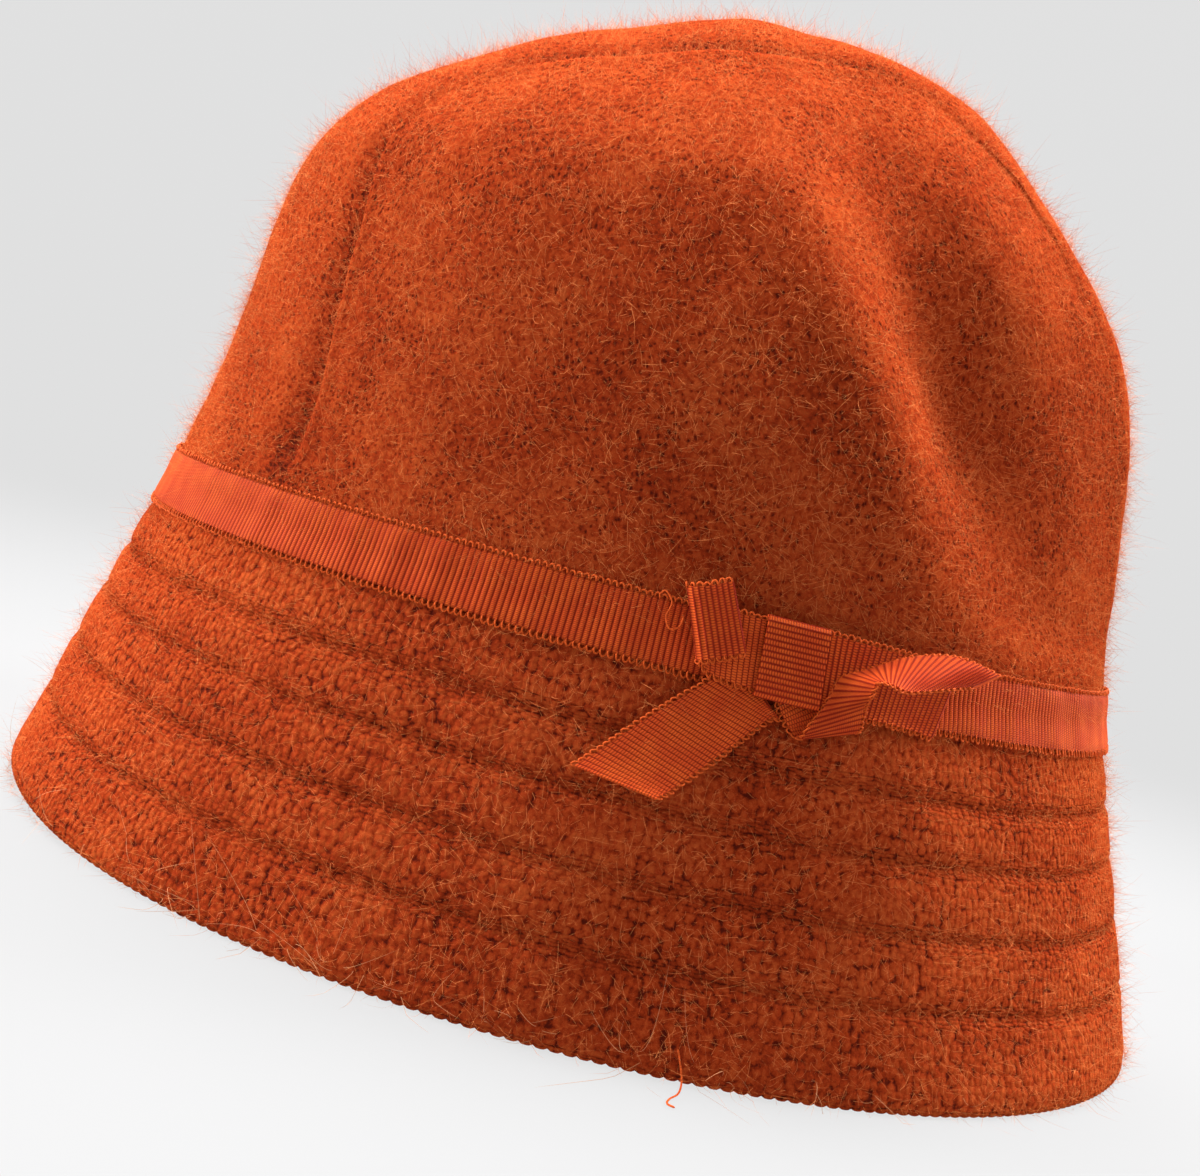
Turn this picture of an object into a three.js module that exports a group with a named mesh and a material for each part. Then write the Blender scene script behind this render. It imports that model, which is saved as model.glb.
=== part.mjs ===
// A sewn cloche hat of felted wool knit with a ribbon and a flat bow, standing on its own rim.
// The wearer's front faces -Y, the wearer's left is +X and up is +Z. The origin lies on the floor,
// in the middle of the rim's outline. Lengths are millimetres and angles are degrees.
import * as THREE from "three";

// Driving sizes
const HEAD_LENGTH = 204.4; // outside of the head line, front to back
const HEAD_WIDTH = 168; // outside of the head line, side to side
const HEAD_FORWARD = 2.1; // how far the head line's middle lies in front of the rim's middle
const RIM_LENGTH = 246;
const RIM_WIDTH = 199.4;
const BRIM_HEIGHT = 66.5; // floor to the head line
const CROWN_HEIGHT = 120.8; // head line to the top
const FRONT_LIFT = 4; // the rim's rise at the very front
const CROWN_WALL = 2;
const BRIM_WALL = 3; // two layers, quilted together
const QUILT_DEPTH = 0.8; // how deep a row of stitching pulls into the brim
const SEAM_DIP = 0.8; // how far a crown panel dives at its seam
const SEAM_RIDGE = 0.4; // how far the turned edge beside a seam stands up
const RIBBON_WIDTH = 12;
const RIBBON_WALL = 1;
const KNOT_WIDTH = 10.4;
const GAP = 0.3; // between neighbouring pieces
const BOW_TURN = 18.3; // where the knot sits, from the wearer's left towards the back

// Outline of the crown, from the head line up: each reach is a share of its reach at the head line.
const CROWN_COLUMNS = ["up", "front", "back", "side"];
const CROWN_SECTIONS = [
  [0.0, 1.0, 1.0, 1.0],
  [0.05, 0.988, 0.989, 0.989],
  [0.1, 0.978, 0.98, 0.98],
  [0.2, 0.962, 0.971, 0.968],
  [0.3, 0.95, 0.955, 0.954],
  [0.4, 0.938, 0.931, 0.935],
  [0.5, 0.918, 0.894, 0.906],
  [0.6, 0.882, 0.838, 0.861],
  [0.7, 0.792, 0.746, 0.769],
  [0.78, 0.672, 0.652, 0.663],
  [0.85, 0.527, 0.564, 0.546],
  [0.9, 0.396, 0.503, 0.45],
  [0.94, 0.27, 0.44, 0.356],
  [0.97, 0.16, 0.35, 0.26],
  [0.99, 0.08, 0.21, 0.149],
  [1.0, 0.0, 0.0, 0.0],
];

// Seam between the centre panel and a side panel. turn goes from the front of the head line (0) over
// the top (90) to the back of the head line (180); half is the centre panel's half angle there.
const SEAM_COLUMNS = ["turn", "half"];
const SEAM_PATH = [
  [0, 47.5],
  [20, 44.5],
  [38, 37],
  [50, 28.5],
  [60, 25.5],
  [75, 25.5],
  [88, 23],
  [98, 17.5],
  [108, 15],
  [125, 15],
  [150, 13.5],
  [180, 13],
];
const FRONT_SHOULDER = 56; // where the seam turns from the front onto the top
const BACK_SHOULDER = 118; // where it turns from the top down the back

// Dents (positive) and swells (negative) of the crown: around is the direction from the wearer's left
// towards the back, wide is an angle, up, tall and deep are shares of the crown's height, and lean is
// how far the dent's middle moves round for each share that it rises.
const DENT_COLUMNS = ["around", "up", "wide", "tall", "lean", "deep"];
const DENTS = [
  [47, 0.42, 13, 0.3, -49, 0.05],
  [25, 0.42, 9, 0.24, -70, -0.02],
  [-70, 0.36, 20, 0.24, 0, 0.016],
  [150, 0.4, 24, 0.22, 20, 0.024],
  [215, 0.45, 18, 0.25, -15, 0.02],
];

// Rows of the brim from the head line down: down is a share of the brim's height, and puff is a share
// of the quilting's depth. The rows with -1 are the four rows of stitching.
const BRIM_COLUMNS = ["down", "puff"];
const BRIM_ROWS = [
  [0, 0],
  [0.1, 0],
  [0.17, 0],
  [0.255, -1],
  [0.33, 0.2],
  [0.408, -1],
  [0.49, 0.2],
  [0.58, -1],
  [0.67, 0.2],
  [0.76, -1],
  [0.86, 0.3],
  [0.95, 0.2],
  [1, 0],
];
const BRIM_LINING_ROWS = [0, 0.5, 1];

// Ribbons of the bow. A row is a place along the ribbon and says where its first and second edge lie:
// along runs round the head line from the knot towards the back and up runs above the head line, both
// as shares of the ribbon's width, and layer counts ribbon thicknesses off the ribbon band.
const RIBBON_COLUMNS = ["along1", "up1", "layer1", "along2", "up2", "layer2"];
const LOOP_TOP = 0.51; // edges of the ribbon inside the knot
const LOOP_FOOT = -0.4;
const LEFT_LOOP = [
  [-0.02, LOOP_TOP, 2, -0.02, LOOP_FOOT, 2],
  [-0.42, LOOP_TOP, 2, -0.38, LOOP_FOOT, 2],
  [-0.78, 0.51, 2, -0.7, -0.4, 2],
  [-1.18, 0.55, 2, -1.04, -0.34, 2],
  [-1.46, 0.64, 2.1, -1.16, -0.24, 2.1],
  [-1.55, 0.69, 2.8, -1.22, -0.22, 2.8],
  [-1.46, 0.72, 3.6, -1.12, -0.17, 3.6],
  [-1.27, 0.79, 3.9, -0.93, -0.08, 3.9],
  [-1.02, 0.92, 4.4, -0.66, 0.05, 4.4],
];
const RIGHT_END = [
  [0.02, LOOP_TOP, 2, 0.02, LOOP_FOOT, 2],
  [0.46, LOOP_TOP + 0.02, 2, 0.47, LOOP_FOOT - 0.01, 2],
  [1.08, 0.51, 2, 0.95, -0.45, 2],
  [1.65, 0.49, 2, 1.45, -0.46, 2],
  [2.16, 0.45, 2, 1.88, -0.48, 2],
  [2.54, 0.43, 2.2, 2.19, -0.52, 2.2],
];
const LEFT_TAIL = [
  [-0.42, -0.03, 1, -0.2, -0.72, 1],
  [-0.7, -0.2, 1, -0.02, -0.72, 1],
  [-1.03, -0.5, 1.15, -0.15, -0.76, 1.15],
  [-1.53, -0.98, 1.7, -0.64, -1.28, 1.7],
  [-1.93, -1.42, 2.5, -1.03, -1.71, 2.5],
  [-2.15, -1.68, 3.2, -1.24, -1.93, 3.2],
  [-2.35, -1.89, 4.4, -1.37, -2.03, 4.4],
];
const RIGHT_TAIL = [
  [-0.1, -0.4, 1, 0.62, 0.16, 1],
  [-0.03, -0.58, 1, 0.7, 0.05, 1],
  [0.1, -0.76, 0.95, 0.93, -0.27, 0.95],
  [0.18, -0.85, 0.95, 1.0, -0.52, 0.95],
  [0.28, -0.9, 1.9, 1.05, -0.66, 1.9],
  [0.29, -0.8, 3.2, 0.98, -0.42, 4.2],
  [0.37, -0.64, 3.3, 0.9, -0.24, 6.2],
  [0.53, -0.34, 3.4, 0.87, -0.08, 8.2],
  [0.65, -0.04, 3.3, 0.86, 0.05, 9.2],
  [0.8, 0.08, 3.2, 0.88, 0.12, 9.6],
  [1.02, 0.18, 3.2, 0.92, 0.14, 9.7],
  [1.28, 0.33, 3.4, 1.01, 0.14, 9.6],
  [1.59, 0.49, 4.0, 1.14, 0.12, 9.2],
  [2.08, 0.62, 4.8, 1.33, 0.09, 8.9],
  [2.45, 0.62, 5.8, 1.56, 0.14, 8.8],
  [2.81, 0.53, 7.1, 2.35, 0.33, 8.0],
];
// The knot's wrap in the upright plane: side is the loop's upper (1) or lower (-1) edge, rise counts
// steps of the gap and half a ribbon's thickness past that edge, and layer is as above.
const KNOT_COLUMNS = ["side", "rise", "layer"];
const KNOT_WRAP = [
  [-1, 1, 1.95],
  [-1, 1, 2.7],
  [-1, 0.6, 3.05],
  [-1, -1.2, 3.2],
  [1, -3.6, 3.25],
  [1, -1.2, 3.2],
  [1, 0.6, 3.05],
  [1, 1, 2.7],
  [1, 1, 1.95],
];

// Fineness of the faceting
const BRIM_FACETS = 96;
const SIDE_COLUMNS = 24;
const SIDE_ROWS = 12;
const CENTRE_COLUMNS = 10;
const SEAM_STRIP = 0.025; // share of a panel taken by the turned edge beside a seam
const RIBBON_STEPS = 2; // facets between two rows of a ribbon's table
const HALVINGS = 48; // of the span in which a point of the crown is looked for
const NORMAL_STEP = 0.01; // turn to either side of a point whose normal is wanted, in radians
const SAME = 1e-6; // numbers closer than this count as equal

const felt = { color: 0xb4511f, roughness: 0.95, metalness: 0 };
const ribbon = { color: 0xc8502a, roughness: 0.55, metalness: 0 };

const radians = THREE.MathUtils.degToRad;
const { lerp, clamp } = THREE.MathUtils;

function table(columns, rows) {
  return rows.map((row) => Object.fromEntries(columns.map((name, i) => [name, row[i]])));
}

// Smooth curve through (x, y) pairs that never overshoots them.
function smoothThrough(xs, ys) {
  const steps = xs.slice(1).map((x, i) => (ys[i + 1] - ys[i]) / (x - xs[i]));
  const slopes = xs.map((_, i) => {
    if (i === 0) return steps[0];
    if (i === xs.length - 1) return steps[i - 1];
    const [before, after] = [steps[i - 1], steps[i]];
    return before * after <= 0 ? 0 : (2 * before * after) / (before + after);
  });
  return (x) => {
    const at = clamp(x, xs[0], xs[xs.length - 1]);
    const i = Math.min(xs.findLastIndex((start) => start <= at), xs.length - 2);
    const width = xs[i + 1] - xs[i];
    const t = (at - xs[i]) / width;
    const ends = (1 + 2 * t) * (1 - t) ** 2 * ys[i] + t * t * (3 - 2 * t) * ys[i + 1];
    return ends + width * (t * (1 - t) ** 2 * slopes[i] + t * t * (t - 1) * slopes[i + 1]);
  };
}

const sections = table(CROWN_COLUMNS, CROWN_SECTIONS);
const reachOf = (side) => {
  const squared = smoothThrough(sections.map((s) => s.up), sections.map((s) => s[side] ** 2));
  return (up) => Math.sqrt(Math.max(squared(up), 0));
};
const [frontShare, backShare, sideShare] = ["front", "back", "side"].map(reachOf);
const headFront = HEAD_LENGTH / 2 + HEAD_FORWARD;
const headBack = HEAD_LENGTH / 2 - HEAD_FORWARD;

// Half sizes of the oval outline at a height above the floor.
function outlineAt(height) {
  if (height <= BRIM_HEIGHT) {
    const down = 1 - height / BRIM_HEIGHT;
    return {
      front: lerp(headFront, RIM_LENGTH / 2, down),
      back: lerp(headBack, RIM_LENGTH / 2, down),
      side: lerp(HEAD_WIDTH / 2, RIM_WIDTH / 2, down),
    };
  }
  const up = (height - BRIM_HEIGHT) / CROWN_HEIGHT;
  return {
    front: headFront * frontShare(up),
    back: headBack * backShare(up),
    side: (HEAD_WIDTH / 2) * sideShare(up),
  };
}

// Point of the oval at an angle, pushed off it by a distance in its own plane.
function ovalPoint(outline, angle, height, off = 0) {
  const length = Math.sin(angle) > 0 ? outline.back : outline.front;
  const across = new THREE.Vector3(length * Math.cos(angle), outline.side * Math.sin(angle), 0);
  const place = new THREE.Vector3(outline.side * Math.cos(angle), length * Math.sin(angle), height);
  return place.addScaledVector(across.normalize(), off);
}

const crownFoot = new THREE.Vector3(0, 0, BRIM_HEIGHT + GAP / 2);
const dents = table(DENT_COLUMNS, DENTS);

// Share of the relief that shows: none under the ribbon, all of it a ribbon's width above.
function clearOfRibbon(up) {
  return THREE.MathUtils.smoothstep(up * CROWN_HEIGHT, RIBBON_WIDTH / 2, 1.5 * RIBBON_WIDTH);
}

function dentAt(direction, up) {
  const around = THREE.MathUtils.radToDeg(Math.atan2(direction.y, direction.x));
  const depths = dents.map((dent) => {
    const middle = dent.around + dent.lean * (up - dent.up);
    const aside = THREE.MathUtils.euclideanModulo(around - middle + 180, 360) - 180;
    const spread = (aside / dent.wide) ** 2 + ((up - dent.up) / dent.tall) ** 2;
    return dent.deep * CROWN_HEIGHT * Math.exp(-spread);
  });
  return depths.reduce((sum, depth) => sum + depth, 0);
}

// Crown surface in a direction from the middle of the head line.
function crownPoint(direction, relief = 0) {
  let [near, far] = [0, HEAD_LENGTH + CROWN_HEIGHT];
  for (let i = 0; i < HALVINGS; i += 1) {
    const middle = (near + far) / 2;
    const place = direction.clone().multiplyScalar(middle);
    const outline = outlineAt(BRIM_HEIGHT + place.z);
    const length = place.y > 0 ? outline.back : outline.front;
    const inside = (place.x / outline.side) ** 2 + (place.y / length) ** 2 < 1;
    if (inside && place.z < CROWN_HEIGHT) near = middle;
    else far = middle;
  }
  const up = clamp((direction.z * near) / CROWN_HEIGHT, 0, 1);
  const reach = near + clearOfRibbon(up) * (relief - dentAt(direction, up));
  return crownFoot.clone().addScaledVector(direction, reach);
}

// Outward normal of the crown, level along its foot so that the edge there is flat.
function crownNormal(direction) {
  const level = Math.abs(direction.z) < SAME;
  const side = new THREE.Vector3(-direction.y, direction.x, 0);
  if (side.length() < SAME) side.set(1, 0, 0);
  side.normalize();
  const rise = new THREE.Vector3().crossVectors(direction, side);
  const step = (axis, size) => crownPoint(direction.clone().addScaledVector(axis, size).normalize());
  const alongSide = step(side, NORMAL_STEP).sub(step(side, -NORMAL_STEP));
  if (level) return new THREE.Vector3(alongSide.y, -alongSide.x, 0).normalize();
  const alongRise = step(rise, NORMAL_STEP).sub(step(rise, -NORMAL_STEP));
  const normal = new THREE.Vector3().crossVectors(alongSide, alongRise).normalize();
  return normal.dot(direction) < 0 ? normal.negate() : normal;
}

const seamRows = table(SEAM_COLUMNS, SEAM_PATH);
const seamHalf = smoothThrough(seamRows.map((s) => s.turn), seamRows.map((s) => s.half));

// Direction from the head line's middle: turn over the top, lean towards the wearer's left.
function direction(turn, lean) {
  const [t, l] = [radians(turn), radians(lean)];
  const sinTurn = turn === 180 ? 0 : Math.sin(t);
  return new THREE.Vector3(Math.sin(l), -Math.cos(l) * Math.cos(t), Math.cos(l) * sinTurn);
}

// Direction of the seam, moved off it by half the gap to one side.
function seamDirection(turn, towardsSide) {
  const half = seamHalf(turn);
  const reach = crownPoint(direction(turn, half)).distanceTo(crownFoot);
  const gapAngle = THREE.MathUtils.radToDeg(GAP / 2 / reach);
  return direction(turn, half + towardsSide * gapAngle);
}

// Shares from 0 to 1 with a narrow strip at each end that meets a seam.
function shares(count, stripAtStart, stripAtEnd) {
  const start = stripAtStart ? SEAM_STRIP : 0;
  const end = stripAtEnd ? 1 - SEAM_STRIP : 1;
  const inner = Array.from({ length: count + 1 }, (_, i) => lerp(start, end, i / count));
  return [...(stripAtStart ? [0] : []), ...inner, ...(stripAtEnd ? [1] : [])];
}

// Relief of a panel at a share across it: down at the seam, up on the turned edge beside it.
function seamRelief(share) {
  if (share <= 0 || share >= 1) return -SEAM_DIP;
  const beside = Math.abs(Math.min(share, 1 - share) - SEAM_STRIP) < SAME;
  return beside ? SEAM_RIDGE : 0;
}

// Side panel of the crown as a grid of directions between its four edges.
function sidePanel(mirror) {
  const columns = shares(SIDE_COLUMNS, true, true);
  const rows = shares(SIDE_ROWS, false, true);
  const frontEdge = (v) => seamDirection(FRONT_SHOULDER * v, 1);
  const backEdge = (v) => seamDirection(lerp(180, BACK_SHOULDER, v), 1);
  const topEdge = (u) => seamDirection(lerp(FRONT_SHOULDER, BACK_SHOULDER, u), 1);
  const footAngle = (edge) => Math.atan2(edge.y, edge.x);
  const [footStart, footEnd] = [footAngle(frontEdge(0)), footAngle(backEdge(0))];
  const footEdge = (u) => {
    const angle = lerp(footStart, footEnd, u);
    return new THREE.Vector3(Math.cos(angle), Math.sin(angle), 0);
  };
  const blend = (u, v) => {
    const mix = new THREE.Vector3();
    mix.addScaledVector(footEdge(u), 1 - v).addScaledVector(topEdge(u), v);
    mix.addScaledVector(frontEdge(v), 1 - u).addScaledVector(backEdge(v), u);
    mix.addScaledVector(footEdge(0), -(1 - u) * (1 - v)).addScaledVector(footEdge(1), -u * (1 - v));
    mix.addScaledVector(topEdge(0), -(1 - u) * v).addScaledVector(topEdge(1), -u * v);
    if (v === 0) mix.z = 0;
    return mix.normalize();
  };
  const relief = (u, v) => (v === 1 ? -SEAM_DIP : seamRelief(u));
  return panelWalls(rows, columns, blend, relief, mirror);
}

// Centre panel from the front of the head line over the top to the back.
function centrePanel() {
  const legs = shares(SIDE_ROWS, false, true);
  const tops = shares(SIDE_COLUMNS, true, true);
  const turns = [
    ...legs.map((v) => FRONT_SHOULDER * v),
    ...tops.slice(1, -1).map((u) => lerp(FRONT_SHOULDER, BACK_SHOULDER, u)),
    ...legs.map((v) => lerp(180, BACK_SHOULDER, v)).reverse(),
  ];
  const edges = turns.map((turn) => seamDirection(turn, -1));
  const across = (u, v) => {
    const at = turns.indexOf(v);
    const lean = THREE.MathUtils.radToDeg(Math.asin(edges[at].x)) * (2 * u - 1);
    return direction(v, lean);
  };
  return panelWalls(turns, shares(CENTRE_COLUMNS, true, true), across, seamRelief, 1);
}

// Outer and inner face of a crown panel.
function panelWalls(rows, columns, directionAt, reliefAt, mirror) {
  const flip = new THREE.Vector3(mirror, 1, 1);
  const grid = (place) => rows.map((v) => columns.map((u) => place(u, v).multiply(flip)));
  const mirrored = (u, v) => directionAt(u, v).multiply(flip);
  const outer = (u, v) => crownPoint(mirrored(u, v), reliefAt(u, v)).multiply(flip);
  const inner = (u, v) => {
    const way = mirrored(u, v);
    return crownPoint(way).addScaledVector(crownNormal(way), -CROWN_WALL).multiply(flip);
  };
  return [grid(outer), grid(inner)];
}

// Brim as a closed ring, with the rows of stitching pressed into its outside.
function brimWalls() {
  const rimRise = (angle, down) => FRONT_LIFT * down * Math.max(-Math.sin(angle), 0) ** 6;
  const ringAt = (down, off) => {
    const height = (BRIM_HEIGHT - GAP / 2) * (1 - down);
    const outline = outlineAt(BRIM_HEIGHT * (1 - down));
    return ringAngles().map((angle) => {
      const place = ovalPoint(outline, angle, height, off);
      place.z += rimRise(angle, down);
      return place;
    });
  };
  const outer = table(BRIM_COLUMNS, BRIM_ROWS).map((row) => ringAt(row.down, row.puff * QUILT_DEPTH));
  const inner = BRIM_LINING_ROWS.map((down) => ringAt(down, -BRIM_WALL));
  return [outer, inner];
}

function ringAngles() {
  return Array.from({ length: BRIM_FACETS }, (_, i) => (i / BRIM_FACETS) * 2 * Math.PI);
}

// Ribbon band round the head line, half on the crown and half on the brim.
function bandWalls() {
  const heights = [-0.5, 0, 0.5].map((share) => BRIM_HEIGHT + share * RIBBON_WIDTH);
  const ringsOff = (off) =>
    heights.map((height) => ringAngles().map((angle) => ovalPoint(outlineAt(height), angle, height, off)));
  return [ringsOff(GAP + RIBBON_WALL), ringsOff(GAP)];
}

// Place in the bow: along the head line, above it, and in ribbon layers off the band.
const bowAngle = radians(BOW_TURN);
const bowRadius = Math.hypot((HEAD_WIDTH / 2) * Math.sin(bowAngle), headBack * Math.cos(bowAngle));

function bowPoint(along, up, layer) {
  const height = BRIM_HEIGHT + up;
  const off = GAP + RIBBON_WALL / 2 + layer * (RIBBON_WALL + GAP);
  return ovalPoint(outlineAt(height), bowAngle + along / bowRadius, height, off);
}

// Edge points of a ribbon from its table.
function ribbonEdges(rows) {
  const place = (along, up, layer) => bowPoint(along * RIBBON_WIDTH, up * RIBBON_WIDTH, layer);
  return table(RIBBON_COLUMNS, rows).map((r) => [
    place(r.along1, r.up1, r.layer1),
    place(r.along2, r.up2, r.layer2),
  ]);
}

function knotEdges() {
  return table(KNOT_COLUMNS, KNOT_WRAP).map((k) => {
    const edge = (k.side > 0 ? LOOP_TOP : LOOP_FOOT) * RIBBON_WIDTH;
    const up = edge + k.side * k.rise * (GAP + RIBBON_WALL / 2);
    return [-1, 1].map((way) => bowPoint((way * KNOT_WIDTH) / 2, up, k.layer));
  });
}

// Flat ribbon of even thickness between two edges, closed at its ends.
function ribbonSolid(edges, steps) {
  const [first, second] = [0, 1].map((side) => {
    const curve = new THREE.CatmullRomCurve3(edges.map((pair) => pair[side]), false, "catmullrom", 0.5);
    const count = (edges.length - 1) * steps;
    return Array.from({ length: count + 1 }, (_, i) => curve.getPoint(i / count));
  });
  const middle = first.map((place, i) => place.clone().add(second[i]).multiplyScalar(0.5));
  const loops = middle.map((_, i) => {
    const before = middle[Math.max(i - 1, 0)];
    const after = middle[Math.min(i + 1, middle.length - 1)];
    const course = after.clone().sub(before);
    const width = second[i].clone().sub(first[i]);
    const half = course.cross(width).setLength(RIBBON_WALL / 2);
    const corner = (edge, way) => edge.clone().addScaledVector(half, way);
    return [corner(first[i], 1), corner(second[i], 1), corner(second[i], -1), corner(first[i], -1)];
  });
  return loftedBody(loops);
}

// Closed body through rings of points, with flat ends.
function loftedBody(loops) {
  const count = loops[0].length;
  const last = (loops.length - 1) * count;
  const triangles = [];
  for (let i = 0; i < loops.length - 1; i += 1) {
    for (let j = 0; j < count; j += 1) {
      const [a, b] = [i * count + j, i * count + ((j + 1) % count)];
      triangles.push(a, b, b + count, a, b + count, a + count);
    }
  }
  for (let j = 1; j < count - 1; j += 1) {
    triangles.push(0, j + 1, j, last, last + j, last + j + 1);
  }
  return bodyGeometry(loops.flat(), triangles);
}

// Closed body between an outer and an inner grid with the same columns. A ring's columns close up.
function walledBody([outer, inner], ring) {
  const width = outer[0].length;
  const points = [...outer.flat(), ...inner.flat()];
  const innerStart = outer.length * width;
  const triangles = [];
  const quad = (a, b, c, d) => triangles.push(a, b, c, a, c, d);
  const spans = ring ? width : width - 1;
  const face = (start, rows, flipped) => {
    for (let i = 0; i < rows - 1; i += 1) {
      for (let j = 0; j < spans; j += 1) {
        const [a, b] = [start + i * width + j, start + i * width + ((j + 1) % width)];
        if (flipped) quad(a, a + width, b + width, b);
        else quad(a, b, b + width, a + width);
      }
    }
  };
  face(0, outer.length, false);
  face(innerStart, inner.length, true);
  const [outerEnd, innerEnd] = [(outer.length - 1) * width, innerStart + (inner.length - 1) * width];
  for (let j = 0; j < spans; j += 1) {
    const next = (j + 1) % width;
    quad(j, innerStart + j, innerStart + next, next);
    quad(outerEnd + j, outerEnd + next, innerEnd + next, innerEnd + j);
  }
  if (!ring) {
    for (let i = 0; i < outer.length - 1; i += 1) {
      const [a, b] = [i * width, (i + 1) * width];
      quad(a, b, innerStart + b, innerStart + a);
      const [c, d] = [a + width - 1, b + width - 1];
      quad(c, innerStart + c, innerStart + d, d);
    }
  }
  return bodyGeometry(points, triangles);
}

// Geometry with its faces turned outwards.
function bodyGeometry(points, triangles) {
  let volume = 0;
  for (let i = 0; i < triangles.length; i += 3) {
    const [a, b, c] = [0, 1, 2].map((k) => points[triangles[i + k]]);
    volume += a.dot(b.clone().cross(c));
  }
  if (volume < 0) triangles.reverse();
  const geometry = new THREE.BufferGeometry().setFromPoints(points);
  geometry.setIndex(triangles);
  geometry.computeVertexNormals();
  return geometry;
}

const group = new THREE.Group();

function piece(name, geometry, finish) {
  const mesh = new THREE.Mesh(geometry, new THREE.MeshStandardMaterial(finish));
  mesh.name = name;
  group.add(mesh);
}

piece("crown_side_left", walledBody(sidePanel(1), false), felt);
piece("crown_side_right", walledBody(sidePanel(-1), false), felt);
piece("crown_centre", walledBody(centrePanel(), false), felt);
piece("brim", walledBody(brimWalls(), true), felt);
piece("ribbon_band", walledBody(bandWalls(), true), ribbon);
piece("bow_left_loop", ribbonSolid(ribbonEdges(LEFT_LOOP), RIBBON_STEPS), ribbon);
piece("bow_right_end", ribbonSolid(ribbonEdges(RIGHT_END), RIBBON_STEPS), ribbon);
piece("bow_left_tail", ribbonSolid(ribbonEdges(LEFT_TAIL), RIBBON_STEPS), ribbon);
piece("bow_right_tail", ribbonSolid(ribbonEdges(RIGHT_TAIL), RIBBON_STEPS), ribbon);
piece("bow_knot", ribbonSolid(knotEdges(), 1), ribbon);

export default group;
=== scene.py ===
import math

import bpy
import numpy as np
from bpy.props import FloatProperty, FloatVectorProperty, IntProperty, PointerProperty
from mathutils import Matrix, Vector


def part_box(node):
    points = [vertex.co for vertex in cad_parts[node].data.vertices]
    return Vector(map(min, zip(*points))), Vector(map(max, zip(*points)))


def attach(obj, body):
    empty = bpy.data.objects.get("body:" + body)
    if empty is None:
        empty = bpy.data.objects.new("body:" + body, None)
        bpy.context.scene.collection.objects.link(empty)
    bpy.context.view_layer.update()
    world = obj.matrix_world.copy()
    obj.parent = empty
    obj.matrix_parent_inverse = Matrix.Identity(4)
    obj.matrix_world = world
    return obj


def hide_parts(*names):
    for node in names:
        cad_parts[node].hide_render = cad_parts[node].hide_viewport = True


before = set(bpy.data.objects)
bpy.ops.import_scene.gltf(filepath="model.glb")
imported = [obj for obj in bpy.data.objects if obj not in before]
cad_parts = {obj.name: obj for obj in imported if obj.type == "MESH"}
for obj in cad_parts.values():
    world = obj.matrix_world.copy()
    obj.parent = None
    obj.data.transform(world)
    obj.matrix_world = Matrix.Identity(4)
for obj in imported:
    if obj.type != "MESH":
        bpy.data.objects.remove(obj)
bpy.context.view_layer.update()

bl_info = {
    "name": "Cloche hat",
    "version": (1, 0, 0),
    "blender": (4, 5, 0),
    "location": "View3D > Sidebar > Hat",
    "description": "Dresses the solids of a sewn cloche hat in felted knit, ribbon and loose fibres",
    "category": "Object",
}

MM = 0.001

# Sizes that the solids give
BRIM_LOW, BRIM_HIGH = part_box("brim")
CROWN_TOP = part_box("crown_centre")[1].z
RIM_LENGTH = BRIM_HIGH.y - BRIM_LOW.y
RIM_WIDTH = BRIM_HIGH.x - BRIM_LOW.x

# Driving sizes of the hat, as in the solids
GAP = 0.3 * MM
HEAD_LENGTH = 204.4 * MM
HEAD_WIDTH = 168 * MM
HEAD_FORWARD = 2.1 * MM
BRIM_HEIGHT = BRIM_HIGH.z + GAP / 2
CROWN_HEIGHT = CROWN_TOP - BRIM_HEIGHT - GAP / 2
FRONT_LIFT = 4 * MM
CROWN_WALL = 2 * MM
BRIM_WALL = 3 * MM
RIBBON_WIDTH = 12 * MM
RIBBON_WALL = 1 * MM
RIBBON_CLOTH = 0.45 * MM
BAND_FACE = 0.62 * MM
LOOP_THREAD_RADIUS = 0.17 * MM
KNOT_WIDTH = 10.4 * MM
BOW_TURN = 18.3

# Usual length of each felt piece's grid along and across, which spreads its stitches evenly
SIDE_MAP = (0.205, 0.118)
CENTRE_MAP = (0.085, 0.36)
BRIM_MAP = (0.66, 0.145)

# Outline of the crown from the head line up, each reach as a share of its reach at the head line
CROWN_COLUMNS = ("up", "front", "back", "side")
CROWN_SECTIONS = (
    (0.0, 1.0, 1.0, 1.0),
    (0.05, 0.988, 0.989, 0.989),
    (0.1, 0.978, 0.98, 0.98),
    (0.2, 0.962, 0.971, 0.968),
    (0.3, 0.95, 0.955, 0.954),
    (0.4, 0.938, 0.931, 0.935),
    (0.5, 0.918, 0.894, 0.906),
    (0.6, 0.882, 0.838, 0.861),
    (0.7, 0.792, 0.746, 0.769),
    (0.78, 0.672, 0.652, 0.663),
    (0.85, 0.527, 0.564, 0.546),
    (0.9, 0.396, 0.503, 0.45),
    (0.94, 0.27, 0.44, 0.356),
    (0.97, 0.16, 0.35, 0.26),
    (0.99, 0.08, 0.21, 0.149),
    (1.0, 0.0, 0.0, 0.0),
)

# Seam of the centre panel: turn goes from the front of the head line over the top to its back, and
# half is the panel's half angle there
SEAM_COLUMNS = ("turn", "half")
SEAM_PATH = (
    (0, 47.5),
    (20, 44.5),
    (38, 37),
    (50, 28.5),
    (60, 25.5),
    (75, 25.5),
    (88, 23),
    (98, 17.5),
    (108, 15),
    (125, 15),
    (150, 13.5),
    (180, 13),
)
FRONT_SHOULDER = 56
BACK_SHOULDER = 118

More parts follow.
